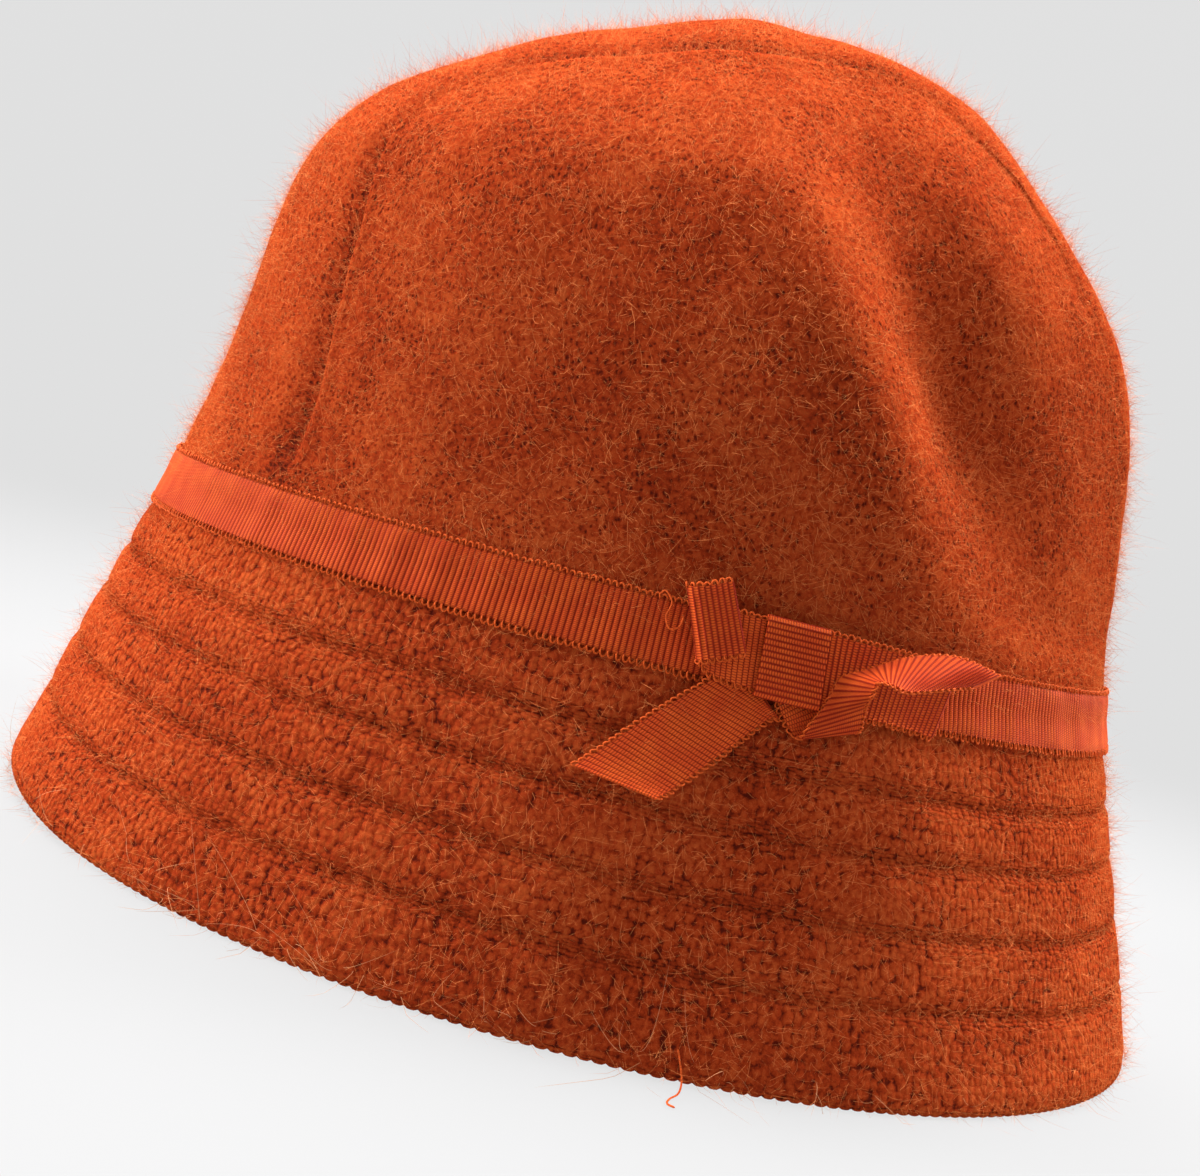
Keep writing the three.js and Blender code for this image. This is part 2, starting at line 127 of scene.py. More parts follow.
# Dents (positive) and swells (negative) of the crown: around is the direction from the wearer's left
# towards the back, wide is an angle, lean is how far the middle moves round as it rises, and up, tall
# and deep are shares of the crown's height
DENT_COLUMNS = ("around", "up", "wide", "tall", "lean", "deep")
DENTS = (
    (41, 0.44, 13.5, 0.3, -45, 0.085),
    (18, 0.42, 13.5, 0.27, -60, -0.045),
    (63, 0.46, 14, 0.28, -30, 0.034),
    (-70, 0.36, 20, 0.24, 0, 0.016),
    (150, 0.4, 24, 0.22, 20, 0.024),
    (215, 0.45, 18, 0.25, -15, 0.02),
)

# The brim's rows of stitching, as shares of its height from the head line down
STITCH_ROWS = (0.255, 0.408, 0.58, 0.76)
RIM_ROWS = 9
LINING_ROWS = 5
RIM_BUMPS = 326

# Relief of the felt: soft bumps with their heights and lengths, the pads and puckers beside the
# stitching, the turned edge beside a seam, and how far the painted shade along seams and stitching reaches
FELT_BUMPS = ((0.35 * MM, 34 * MM), (0.13 * MM, 9 * MM))
GROOVE_WIDTH = 0.8 * MM
PAD_HEIGHT = 0.3 * MM
PAD_EDGE = 2.6 * MM
PUCKER_HEIGHT = 0.2 * MM
PUCKER_LENGTH = 5.5 * MM
PUCKER_REACH = 4 * MM
TURNED_EDGE_AT = 2.6 * MM
TURNED_EDGE_WIDTH = 1.5 * MM
SIDE_SHADE_REACH = 1.3 * MM
CENTRE_SHADE_REACH = 4.5 * MM
STITCH_SHADE_REACH = 1.3 * MM

# Waves summed for an uneven surface, and halvings in the search for the crown's surface
WAVES = 7
HALVINGS = 40

# Ribbons of the bow: where the first and the second edge lie, along and above the head line in ribbon
# widths, and off it in ribbon layers
RIBBON_COLUMNS = ("along1", "up1", "layer1", "along2", "up2", "layer2")
LOOP_TOP = 0.51
LOOP_FOOT = -0.4
LEFT_LOOP = (
    (-0.02, LOOP_TOP, 2, -0.02, LOOP_FOOT, 2),
    (-0.42, LOOP_TOP, 2, -0.38, LOOP_FOOT, 2),
    (-0.78, 0.51, 2, -0.7, -0.4, 2),
    (-1.18, 0.55, 2, -1.04, -0.34, 2),
    (-1.46, 0.64, 2.1, -1.16, -0.24, 2.1),
    (-1.55, 0.69, 2.8, -1.22, -0.22, 2.8),
    (-1.46, 0.72, 3.6, -1.12, -0.17, 3.6),
    (-1.27, 0.79, 3.9, -0.93, -0.08, 3.9),
    (-1.02, 0.92, 4.4, -0.66, 0.05, 4.4),
)
RIGHT_END = (
    (0.02, LOOP_TOP, 2, 0.02, LOOP_FOOT, 2),
    (0.46, LOOP_TOP + 0.02, 2, 0.47, LOOP_FOOT - 0.01, 2),
    (1.08, 0.51, 2, 0.95, -0.45, 2),
    (1.65, 0.49, 2, 1.45, -0.46, 2),
    (2.16, 0.45, 2, 1.88, -0.48, 2),
    (2.54, 0.43, 2.2, 2.19, -0.52, 2.2),
)
LEFT_TAIL = (
    (-0.42, -0.03, 1, -0.2, -0.72, 1),
    (-0.7, -0.2, 1, -0.02, -0.72, 1),
    (-1.03, -0.5, 1.15, -0.15, -0.76, 1.15),
    (-1.53, -0.98, 1.7, -0.64, -1.28, 1.7),
    (-1.93, -1.42, 2.5, -1.03, -1.71, 2.5),
    (-2.15, -1.68, 3.2, -1.24, -1.93, 3.2),
    (-2.35, -1.89, 4.4, -1.37, -2.03, 4.4),
)
RIGHT_TAIL = (
    (-0.1, -0.4, 1, 0.62, 0.16, 1),
    (-0.03, -0.58, 1, 0.7, 0.05, 1),
    (0.1, -0.76, 0.95, 0.93, -0.27, 0.95),
    (0.18, -0.85, 0.95, 1.0, -0.52, 0.95),
    (0.28, -0.9, 1.9, 1.05, -0.66, 1.9),
    (0.29, -0.8, 3.2, 0.98, -0.42, 4.2),
    (0.37, -0.64, 3.3, 0.9, -0.24, 6.2),
    (0.53, -0.34, 3.4, 0.87, -0.08, 8.2),
    (0.65, -0.04, 3.3, 0.86, 0.05, 9.2),
    (0.8, 0.08, 3.2, 0.88, 0.12, 9.6),
    (1.02, 0.18, 3.2, 0.92, 0.14, 9.7),
    (1.28, 0.33, 3.4, 1.01, 0.14, 9.6),
    (1.59, 0.49, 4.0, 1.14, 0.12, 9.2),
    (2.08, 0.62, 4.8, 1.33, 0.09, 8.9),
    (2.45, 0.62, 5.8, 1.56, 0.14, 8.8),
    (2.81, 0.53, 7.1, 2.35, 0.33, 8.0),
)
KNOT_COLUMNS = ("side", "rise", "layer")
KNOT_WRAP = (
    (-1, 1, 1.95),
    (-1, 1, 2.7),
    (-1, 0.6, 3.05),
    (-1, -1.2, 3.2),
    (1, -3.6, 3.25),
    (1, -1.2, 3.2),
    (1, 0.6, 3.05),
    (1, 1, 2.7),
    (1, 1, 1.95),
)

# Loose ends of thread in millimetres: along the head line or the rim, above it, and in ribbon layers
# or millimetres off it
THREAD_COLUMNS = ("along", "up", "off")
BAND_THREAD = (
    (-22.5, 5.6, 0.2),
    (-21.6, 6.6, 0.7),
    (-20.2, 5.0, 0.9),
    (-20.6, 2.6, 1.0),
    (-19.6, 0.9, 1.1),
    (-18.2, 1.6, 1.1),
    (-17.9, 3.4, 1.2),
)
RIM_THREAD = (
    (0, 5.5, 0.1),
    (0.4, 4.0, 1.2),
    (0.9, 1.6, 2.2),
    (0.4, 0.5, 4.2),
    (-0.9, 0.3, 6.3),
    (-1.4, 0.3, 8.2),
    (-0.6, 0.5, 9.6),
)
RIM_THREAD_TURN = 14.6
THREAD_RADIUS = 0.16 * MM
HAIR_COUNT = 90
HAIR_WIDTH = 0.08 * MM

# Loose fibres: share is how many grow for each short one, log_length and longest compare their length
# with the usual one, lean is off the felt's normal in degrees, and width is a share of the usual one
FIBRE_COLUMNS = ("kind", "share", "log_length", "longest", "lean", "curl", "points", "width")
FIBRE_KINDS = (
    ("short", 1, -0.1, math.inf, (15, 86), (0.1, 0.7), 3, 1),
    ("long", 0.23, 0.4, 2.2, (5, 75), (0.4, 1.0), 5, 0.85),
)
FIBRE_SPREAD = 0.4
BRIM_FIBRES = 0.7

# Lamps with their places, sizes and powers, and the pale stage
LAMPS = (
    ("light_left", (0.05, -0.95, 0.36), 0.5, 2.7),
    ("light_right", (-0.34, 0.83, 0.56), 0.4, 2.1),
    ("light_above", (-0.2, -0.05, 0.93), 0.6, 4.6),
)
LAMP_TARGET = (0, 0, 0.1)
LAMP_SPREAD = 60
SKY_STRENGTH = 0.1
FLOOR_GLOW = 0.72
FLOOR_RADIUS = 1.5
BACKDROP_BEND = 1.2
BACKDROP_HEIGHT = 3.2

# The camera's place round the hat and how it is turned from looking level at the hat's middle
CAMERA_TURN = 3.96
CAMERA_DISTANCE = 0.31649
CAMERA_HEIGHT = 0.08825
CAMERA_YAW = 1.527
CAMERA_PITCH = -4.312
CAMERA_ROLL = -14.647
PHOTO_WIDTH_PX = 1200
FOCAL_PX = 1440.25
SENSOR_MM = 36.0


class ClocheSizes(bpy.types.PropertyGroup):
    """Sizes of the hat's finish."""

    groove_depth: FloatProperty(
        name="Stitch groove depth",
        description="How deep a row of stitching pulls into the brim",
        default=0.8 * MM,
        unit="LENGTH",
    )
    stitch_pitch: FloatProperty(
        name="Stitch pitch",
        description="Length of one stitch of the brim's rows",
        default=3 * MM,
        unit="LENGTH",
    )
    seam_depth: FloatProperty(
        name="Seam depth",
        description="How deep a crown panel dives at its seam",
        default=2.2 * MM,
        unit="LENGTH",
    )
    rib_pitch: FloatProperty(
        name="Rib pitch",
        description="Distance from one rib of the ribbon to the next",
        default=0.95 * MM,
        unit="LENGTH",
    )
    rib_depth: FloatProperty(
        name="Rib depth",
        description="Height of a ribbon's rib above the valley beside it",
        default=0.22 * MM,
        unit="LENGTH",
    )
    loop_pitch: FloatProperty(
        name="Edge loop pitch",
        description="Distance from one loop of the ribbon's edge to the next",
        default=1.2 * MM,
        unit="LENGTH",
    )
    fibre_length: FloatProperty(
        name="Fibre length",
        description="Usual length of a loose fibre of the felt",
        default=2.5 * MM,
        unit="LENGTH",
    )
    fibre_width: FloatProperty(
        name="Fibre width",
        description="Width of a loose fibre of the felt",
        default=0.05 * MM,
        unit="LENGTH",
    )
    fibre_cover: FloatProperty(
        name="Fibres to a square millimetre",
        description="How many loose fibres stand on a square millimetre of felt",
        default=1.15,
        min=0.0,
        max=1.3,
    )
    seed: IntProperty(
        name="Seed",
        description="Start of every random draw",
        default=7,
    )


class ClocheColours(bpy.types.PropertyGroup):
    """Colours of the hat and of the surface that it stands on."""

    # The felt in the pits is painted shade, the darkness that falls between the stitches.
    felt_pit_shade: FloatVectorProperty(
        name="Felt in the pits",
        description="Colour of the felt between its stitches",
        default=(0.085, 0.009, 0.005),
        subtype="COLOR",
    )
    felt_middle: FloatVectorProperty(
        name="Felt",
        description="Usual colour of the felt",
        default=(0.30, 0.030, 0.007),
        subtype="COLOR",
    )
    felt_light: FloatVectorProperty(
        name="Felt on the raised wool",
        description="Colour of the felt where the wool stands up",
        default=(0.52, 0.094, 0.021),
        subtype="COLOR",
    )
    # The loose fibres keep the wool's orange, made lighter as painted light for the glow of lit fibres.
    fibre: FloatVectorProperty(
        name="Loose fibres",
        description="Colour of the loose fibres",
        default=(0.74, 0.235, 0.072),
        subtype="COLOR",
    )
    hair: FloatVectorProperty(
        name="Pale hairs",
        description="Colour of the long hairs at the rim",
        default=(0.62, 0.28, 0.13),
        subtype="COLOR",
    )
    ribbon: FloatVectorProperty(
        name="Ribbon",
        description="Colour of the ribbon's ribs",
        default=(0.60, 0.070, 0.015),
        subtype="COLOR",
    )
    # The ribbon between its ribs is painted shade in the valleys.
    ribbon_valley_shade: FloatVectorProperty(
        name="Ribbon between its ribs",
        description="Colour of the ribbon in the valleys between its ribs",
        default=(0.24, 0.016, 0.006),
        subtype="COLOR",
    )
    ribbon_edge: FloatVectorProperty(
        name="Ribbon's edge loops",
        description="Colour of the loops along the ribbon's edges",
        default=(0.70, 0.105, 0.018),
        subtype="COLOR",
    )
    floor: FloatVectorProperty(
        name="Floor",
        description="Colour of the floor and of the backdrop that it rises into",
        default=(0.05, 0.05, 0.051),
        subtype="COLOR",
    )


def sizes():
    return bpy.context.scene.cloche_sizes


def colours():
    return bpy.context.scene.cloche_colours


def table(columns, rows):
    """The columns of a table as arrays, by name."""
    return {name: np.array([row[i] for row in rows], float) for i, name in enumerate(columns)}


def smooth_through(xs, ys):
    """Smooth curve through points that never overshoots them."""
    steps = np.diff(ys) / np.diff(xs)
    before, after = steps[:-1], steps[1:]
    turning = before * after <= 0
    shared = 2 * before * after / np.where(turning, 1, before + after)
    slopes = np.concatenate([steps[:1], np.where(turning, 0, shared), steps[-1:]])

    def curve(x):
        at = np.clip(x, xs[0], xs[-1])
        i = np.clip(np.searchsorted(xs, at, side="right") - 1, 0, len(xs) - 2)
        width = xs[i + 1] - xs[i]
        t = (at - xs[i]) / width
        ends = (1 + 2 * t) * (1 - t) ** 2 * ys[i] + t * t * (3 - 2 * t) * ys[i + 1]
        return ends + width * (t * (1 - t) ** 2 * slopes[i] + t * t * (t - 1) * slopes[i + 1])

    return curve


def smoothstep(low, high, x):
    t = np.clip((x - low) / (high - low), 0, 1)
    return t * t * (3 - 2 * t)


def unit(vectors):
    return vectors / np.maximum(np.linalg.norm(vectors, axis=-1, keepdims=True), 1e-12)


def lerp(a, b, t):
    return a + (b - a) * t


def unevenness(points, wavelength, seed):
    """Soft waves through space between -1 and 1, the same for the same seed."""
    rng = np.random.default_rng(seed)
    ways = unit(rng.normal(size=(WAVES, 3)))
    stretch = rng.uniform(0.6, 1.5, WAVES) * 2 * math.pi / wavelength
    starts = rng.uniform(0, 2 * math.pi, WAVES)
    waves = [np.sin((points @ way) * k + start) for way, k, start in zip(ways, stretch, starts)]
    return sum(waves) / math.sqrt(WAVES * 2)


# Form of the hat

sections = table(CROWN_COLUMNS, CROWN_SECTIONS)
squared = {side: smooth_through(sections["up"], sections[side] ** 2) for side in CROWN_COLUMNS[1:]}
seam_rows = table(SEAM_COLUMNS, SEAM_PATH)
seam_half = smooth_through(seam_rows["turn"], seam_rows["half"])
head_front = HEAD_LENGTH / 2 + HEAD_FORWARD
head_back = HEAD_LENGTH / 2 - HEAD_FORWARD
crown_foot = np.array([0, 0, BRIM_HEIGHT + GAP / 2])


def outline_at(height):
    """Reaches of the oval outline at a height: to the front, to the back and to the side."""
    down = np.clip(1 - height / BRIM_HEIGHT, 0, 1)
    up = np.clip((height - BRIM_HEIGHT) / CROWN_HEIGHT, 0, 1)
    share = {side: np.sqrt(np.maximum(curve(up), 0)) for side, curve in squared.items()}
    front = np.where(down > 0, lerp(head_front, RIM_LENGTH / 2, down), head_front * share["front"])
    back = np.where(down > 0, lerp(head_back, RIM_LENGTH / 2, down), head_back * share["back"])
    side = np.where(down > 0, lerp(HEAD_WIDTH / 2, RIM_WIDTH / 2, down), HEAD_WIDTH / 2 * share["side"])
    return front, back, side


def oval_point(angle, height, off=0.0):
    """Points of the outline at an angle, pushed off it in its own plane."""
    angle, height, off = np.broadcast_arrays(np.asarray(angle, float), height, off)
    front, back, side = outline_at(height)
    length = np.where(np.sin(angle) > 0, back, front)
    across = unit(np.stack([length * np.cos(angle), side * np.sin(angle), np.zeros_like(angle)], -1))
    place = np.stack([side * np.cos(angle), length * np.sin(angle), height], -1)
    return place + across * off[..., None]


def dent_at(ways, up):
    """How deep the crown is dented in a direction, with the swells as negative depths."""
    around = np.degrees(np.arctan2(ways[..., 1], ways[..., 0]))
    depth = np.zeros_like(up)
    for row in DENTS:
        dent = dict(zip(DENT_COLUMNS, row))
        middle = dent["around"] + dent["lean"] * (up - dent["up"])
        aside = (around - middle + 180) % 360 - 180
        spread = (aside / dent["wide"]) ** 2 + ((up - dent["up"]) / dent["tall"]) ** 2
        depth = depth + dent["deep"] * CROWN_HEIGHT * np.exp(-spread)
    return depth


def crown_point(ways, relief=0.0):
    """Crown surface in directions from the middle of the head line."""
    near = np.zeros(ways.shape[:-1])
    far = np.full(ways.shape[:-1], HEAD_LENGTH + CROWN_HEIGHT)
    for _ in range(HALVINGS):
        middle = (near + far) / 2
        place = ways * middle[..., None]
        front, back, side = outline_at(BRIM_HEIGHT + np.maximum(place[..., 2], 0))
        length = np.where(place[..., 1] > 0, back, front)
        across, along = place[..., 0] / np.maximum(side, 1e-9), place[..., 1] / np.maximum(length, 1e-9)
        inside = (across**2 + along**2 < 1) & (place[..., 2] < CROWN_HEIGHT)
        near, far = np.where(inside, middle, near), np.where(inside, far, middle)
    up = np.clip(ways[..., 2] * near / CROWN_HEIGHT, 0, 1)
    clear = smoothstep(RIBBON_WIDTH / 2, 1.5 * RIBBON_WIDTH, up * CROWN_HEIGHT)
    reach = near + clear * (relief - dent_at(ways, up))
    return crown_foot + ways * reach[..., None]


def direction(turn, lean):
    """Direction from the head line's middle: turn over the top, lean to the wearer's left."""
    t, l = np.radians(turn), np.radians(lean)
    return np.stack([np.sin(l) + 0 * t, -np.cos(l) * np.cos(t), np.maximum(np.cos(l) * np.sin(t), 0)], -1)


def seam_direction(turn, towards_side):
    """Direction of the seam, moved a hair off it to one side."""
    half = seam_half(turn)
    reach = np.linalg.norm(crown_point(direction(turn, half)) - crown_foot, axis=-1)
    hair = np.degrees(0.04 * MM / reach)
    return direction(turn, half + towards_side * hair)


def grid_lengths(points, axis):
    """Distance travelled along a grid of points, from its start."""
    steps = np.linalg.norm(np.diff(points, axis=axis), axis=-1)
    return np.concatenate([np.zeros_like(np.take(steps, [0], axis)), np.cumsum(steps, axis)], axis)


def seam_relief(distance, depth, width, ridge):
    """Relief beside a seam: a soft valley at the seam itself, and a turned edge standing up beside it."""
    dip = -depth * np.exp(-((distance / width) ** 2))
    return dip + ridge * np.exp(-(((distance - TURNED_EDGE_AT) / TURNED_EDGE_WIDTH) ** 2))


def edge_distance(points, axis):
    """Distance of each point of a grid from the nearer of its two edges along an axis."""
    along = grid_lengths(points, axis)
    whole = np.take(along, [-1], axis)
    return np.minimum(along, whole - along)


def distance_from_top(points):
    return grid_lengths(points[::-1], 0)[::-1]


def side_groove_shade(u, v, points):
    """How much painted shade a side panel gets: along its seams."""
    nearest = np.minimum(edge_distance(points, 1), distance_from_top(points))
    return np.exp(-((nearest / SIDE_SHADE_REACH) ** 2))


# Painted shade along the centre panel's seams.
def centre_groove_shade(u, v, points):
    return 1.6 * np.exp(-((edge_distance(points, 1) / CENTRE_SHADE_REACH) ** 2))


def brim_groove_shade(u, v, points):
    """How much painted shade the brim gets: along its rows of stitching."""
    rows = brim_rows()
    index = np.rint(v * brim_section_rows()).astype(int) % brim_section_rows()
    down = rows[np.clip(index, 0, len(rows) - 1)]
    worn = sum(np.exp(-((beside / STITCH_SHADE_REACH) ** 2)) for beside in beside_stitching(down, points))
    return np.where(index < len(rows), 0.35 * worn, 0)


def side_panel(mirror):
    """Place of the side panel's points: u from the front seam to the back seam, v up to the top seam."""

    def place(u, v):
        front_edge = seam_direction(FRONT_SHOULDER * v, 1)
        back_edge = seam_direction(lerp(180, BACK_SHOULDER, v), 1)
        top_edge = seam_direction(lerp(FRONT_SHOULDER, BACK_SHOULDER, u), 1)
        corners = seam_direction(np.array([0, 180, FRONT_SHOULDER, BACK_SHOULDER], float), 1)
        start, end = (math.atan2(corner[1], corner[0]) for corner in corners[:2])
        angle = lerp(start, end, u)
        foot_edge = np.stack([np.cos(angle), np.sin(angle), 0 * angle], -1)
        a, b = u[..., None], v[..., None]
        ways = foot_edge * (1 - b) + top_edge * b + front_edge * (1 - a) + back_edge * a
        ways = ways - corners[0] * (1 - a) * (1 - b) - corners[1] * a * (1 - b)
        ways = unit(ways - corners[2] * (1 - a) * b - corners[3] * a * b)
        ways = ways * np.array([mirror, 1, 1])
        base = crown_point(ways)
        from_top = distance_from_top(base)
        nearest = np.minimum(edge_distance(base, 1), from_top)
        relief = seam_relief(nearest, 0.85 * sizes().seam_depth, 1.5 * MM, 0.6 * MM) + felt_relief(base)
        return crown_point(ways, relief)

    return place


def centre_panel(u, v):
    """Place of the centre panel's points: u across from the right, v from the front over the top."""
    turn = 180 * v
    edge = seam_direction(turn, -1)
    lean = np.degrees(np.arcsin(edge[..., 0])) * (2 * u - 1)
    ways = direction(turn, lean)
    base = crown_point(ways)
    valley = seam_relief(edge_distance(base, 1), sizes().seam_depth, 4.2 * MM, 0)
    return crown_point(ways, valley + felt_relief(base))


def felt_relief(points):
    """Soft bumps of hand-worn felt."""
    bumps = enumerate(FELT_BUMPS)
    return sum(height * unevenness(points, length, sizes().seed + i) for i, (height, length) in bumps)


def brim_rows():
    """Shares from the head line down at which the brim's outside has a row, closer at the stitching."""
    close = [row + step for row in STITCH_ROWS for step in (-0.03, -0.018, -0.009, 0, 0.009, 0.018, 0.03)]
    even = [x for x in np.linspace(0, 0.955, 36) if min(abs(x - row) for row in STITCH_ROWS) > 0.036]
    return np.array(sorted(close + even))


def beside_stitching(down, points):
    """Distance below each row of stitching, which wanders a little."""
    wander = 0.35 * MM * unevenness(points, 60 * MM, sizes().seed + 2)
    return [(down - row) * BRIM_HEIGHT + wander for row in STITCH_ROWS]


def brim_section_rows():
    return len(brim_rows()) + RIM_ROWS + LINING_ROWS + 1


def brim_relief(angle, down, points):
    """Relief of the brim's outside: grooves of stitching, pads between them and small puckers."""
    height = down * BRIM_HEIGHT
    around = angle / (2 * math.pi) * math.pi * (RIM_LENGTH + RIM_WIDTH) / 2
    stitches = 0.75 + 0.25 * np.cos(2 * math.pi * around / sizes().stitch_pitch)
    relief = felt_relief(points)
    for number, beside in enumerate(beside_stitching(down, points)):
        relief = relief - sizes().groove_depth * stitches * np.exp(-((beside / GROOVE_WIDTH) ** 2))
        relief = relief - PAD_HEIGHT * np.exp(-((beside / PAD_EDGE) ** 2))
        pucker = unevenness(points, PUCKER_LENGTH, sizes().seed + 3 + number)
        relief = relief + PUCKER_HEIGHT * pucker * np.exp(-((beside / PUCKER_REACH) ** 2))
    below_ribbon = smoothstep(RIBBON_WIDTH / 2, RIBBON_WIDTH, height)
    return relief * below_ribbon + PAD_HEIGHT * below_ribbon


def brim_outside(angle, down):
    height = (BRIM_HEIGHT - GAP / 2) * (1 - down)
    return oval_point(angle, height, brim_relief(angle, down, oval_point(angle, height)))


def rim_rise(angle, down):
    return FRONT_LIFT * down * np.maximum(-np.sin(angle), 0) ** 6


def brim_loop(u, v):
    """Place of the brim's points: u round the head, v round the section from outside to inside."""
    rows = brim_rows()
    rounding = np.linspace(0, math.pi, RIM_ROWS)
    inner = np.linspace(1, 0, LINING_ROWS)
    count = brim_section_rows()
    index = np.rint(v * count).astype(int) % count
    angle = u * 2 * math.pi
    radius = BRIM_WALL / 2
    outside = brim_outside(angle, rows[np.clip(index, 0, len(rows) - 1)])
    turn = rounding[np.clip(index - len(rows), 0, len(rounding) - 1)]
    knit = 1 + 0.2 * np.sin(u * 2 * math.pi * RIM_BUMPS) * np.sin(turn)
    rim_height = radius * (1 - np.sin(turn) * np.clip(knit, 0, 1))
    rim_off = radius * (np.cos(turn) * knit - 1)
    rim = oval_point(angle, rim_height, rim_off)
    inner_share = inner[np.clip(index - len(rows) - len(rounding), 0, len(inner) - 1)]
    inner_height = lerp(BRIM_HEIGHT - GAP / 2, radius, inner_share * 0.97)
    inside = oval_point(angle, inner_height, -BRIM_WALL)
    on_rim, on_inside = index >= len(rows), index >= len(rows) + len(rounding)
    place = np.where(on_inside[..., None], inside, np.where(on_rim[..., None], rim, outside))
    place[..., 2] += rim_rise(angle, np.clip(1 - place[..., 2] / BRIM_HEIGHT, 0, 1))
    return place


def ribs(distance):
    """Height of a ribbon's ribs at a distance along it."""
    phase = distance / sizes().rib_pitch
    return sizes().rib_depth * np.abs(np.sin(math.pi * phase)) ** 0.7


def band_loop(u, v):
    """Place of the ribbon band's points: u round the head, v round the ribbon's section."""
    across = np.array([-0.5, -0.47, -0.36, -0.24, -0.12, 0, 0.12, 0.24, 0.36, 0.47, 0.5])
    count = len(across) + 2
    index = np.rint(v * count).astype(int) % count
    angle = u * 2 * math.pi
    share = np.where(index < len(across), across[np.clip(index, 0, len(across) - 1)], 0.5)
    share = np.where(index == len(across) + 1, -0.5, share)
    front = index < len(across)
    middle = oval_point(angle, BRIM_HEIGHT)
    around = u * rib_count() * sizes().rib_pitch
    slack = 0.22 * MM * np.maximum(unevenness(middle, 7 * MM, sizes().seed + 9), -0.4)
    edge = smoothstep(0.5, 0.44, np.abs(share))
    field = ribs(around + 0.25 * MM * share) * edge + slack * lerp(0.3, 1, edge)
    off = GAP + np.where(front, BAND_FACE + field, 0)
    return oval_point(angle, BRIM_HEIGHT + share * (RIBBON_WIDTH - 1.5 * MM), off)


# Place in the bow: along the head line, above it, and in ribbon layers off the band

bow_angle = math.radians(BOW_TURN)
bow_radius = math.hypot(HEAD_WIDTH / 2 * math.sin(bow_angle), head_back * math.cos(bow_angle))


def bow_point(along, up, layer):
    off = GAP + RIBBON_WALL / 2 + layer * (RIBBON_WALL + GAP)
    return oval_point(bow_angle + along / bow_radius, BRIM_HEIGHT + up, off)


def ribbon_edges(rows):
    """Both edges of a ribbon from its table, as an array of pairs of points."""
    row = table(RIBBON_COLUMNS, rows)
    edges = [
        bow_point(row["along" + edge] * RIBBON_WIDTH, row["up" + edge] * RIBBON_WIDTH, row["layer" + edge])
        for edge in "12"
    ]
    return np.stack(edges, 1)


def knot_edges():
    row = table(KNOT_COLUMNS, KNOT_WRAP)
    edge = np.where(row["side"] > 0, LOOP_TOP, LOOP_FOOT) * RIBBON_WIDTH
    up = edge + row["side"] * row["rise"] * (GAP + RIBBON_WALL / 2)
    return np.stack([bow_point(way * KNOT_WIDTH / 2, up, row["layer"]) for way in (-1, 1)], 1)


def curve_through(points, steps=24):
    """Points along an evenly timed smooth curve through points."""
    ends = (2 * points[:1] - points[1:2], 2 * points[-1:] - points[-2:-1])
    held = np.concatenate([ends[0], points, ends[1]])
    t = np.linspace(0, 1, steps, endpoint=False).reshape(-1, *[1] * (points.ndim - 1))
    spans = []
    for a, b, c, d in zip(held[:-3], held[1:-2], held[2:-1], held[3:]):
        cubic = (2 * b, c - a, 2 * a - 5 * b + 4 * c - d, 3 * b - a - 3 * c + d)
        spans.append(0.5 * sum(part * t**power for power, part in enumerate(cubic)))
    return np.concatenate([*spans, points[-1:]])


class Course:
    """A ribbon's course between its two edges, by distance along its middle."""

    def __init__(self, edges):
        self.edges = curve_through(edges)
        self.along = grid_lengths(self.edges.mean(1), 0)
        self.length = self.along[-1]

    def at(self, share):
        """First edge, second edge and face normal at a share of the length."""
        first, second = (self.follow(self.edges[:, side], share) for side in (0, 1))
        step = 0.6 * MM / self.length
        middle = self.edges.mean(1)
        course = self.follow(middle, share + step) - self.follow(middle, share - step)
        return first, second, unit(np.cross(course, second - first))

    def follow(self, points, share):
        place = np.clip(share, 0, 1) * self.length
        return np.stack([np.interp(place, self.along, points[:, axis]) for axis in range(3)], -1)


def head_line_length():
    places = oval_point(np.linspace(0, 2 * math.pi, 721), BRIM_HEIGHT)
    return grid_lengths(places, 0)[-1]


def rib_count():
    return round(head_line_length() / sizes().rib_pitch)


# Meshes

def deselect():
    bpy.ops.object.select_all(action="DESELECT")


def choose(piece):
    deselect()
    piece.select_set(True)
    bpy.context.view_layer.objects.active = piece


def cloth_grid(name, columns, rows, place, cloth_size, closed=False, worn=None):
    """A plain grid laid onto a surface, with its cloth's own size as its UV map and its painted groove
    shade.
    """
    deselect()
    bpy.ops.mesh.primitive_grid_add(x_subdivisions=columns, y_subdivisions=rows, size=1)
    piece = bpy.context.active_object
    piece.name = piece.data.name = name
    mesh = piece.data
    flat = np.empty(len(mesh.vertices) * 3)
    mesh.vertices.foreach_get("co", flat)
    flat = flat.reshape(-1, 3) + 0.5
    order = np.lexsort((np.rint(flat[:, 0] * columns), np.rint(flat[:, 1] * rows)))
    u, v = (flat[order, axis].reshape(rows + 1, columns + 1) for axis in (0, 1))
    grid = place(u, v)
    places = np.empty_like(flat)
    places[order] = grid.reshape(-1, 3)
    mesh.vertices.foreach_set("co", places.ravel())
    # Painted shade along the grooves, kept as a point attribute.
    if worn:
        shares = np.empty(len(flat))
        shares[order] = worn(u, v, grid).ravel()
        mesh.attributes.new("worn", "FLOAT", "POINT").data.foreach_set("value", shares)
    uv_map = mesh.uv_layers[0]
    uv = np.empty(len(mesh.loops) * 2)
    uv_map.data.foreach_get("uv", uv)
    uv_map.data.foreach_set("uv", (uv.reshape(-1, 2) * cloth_size).ravel())
    mesh.update()
    if closed:
        close_up(piece, 1e-6)
    bpy.ops.object.shade_smooth()
    return piece


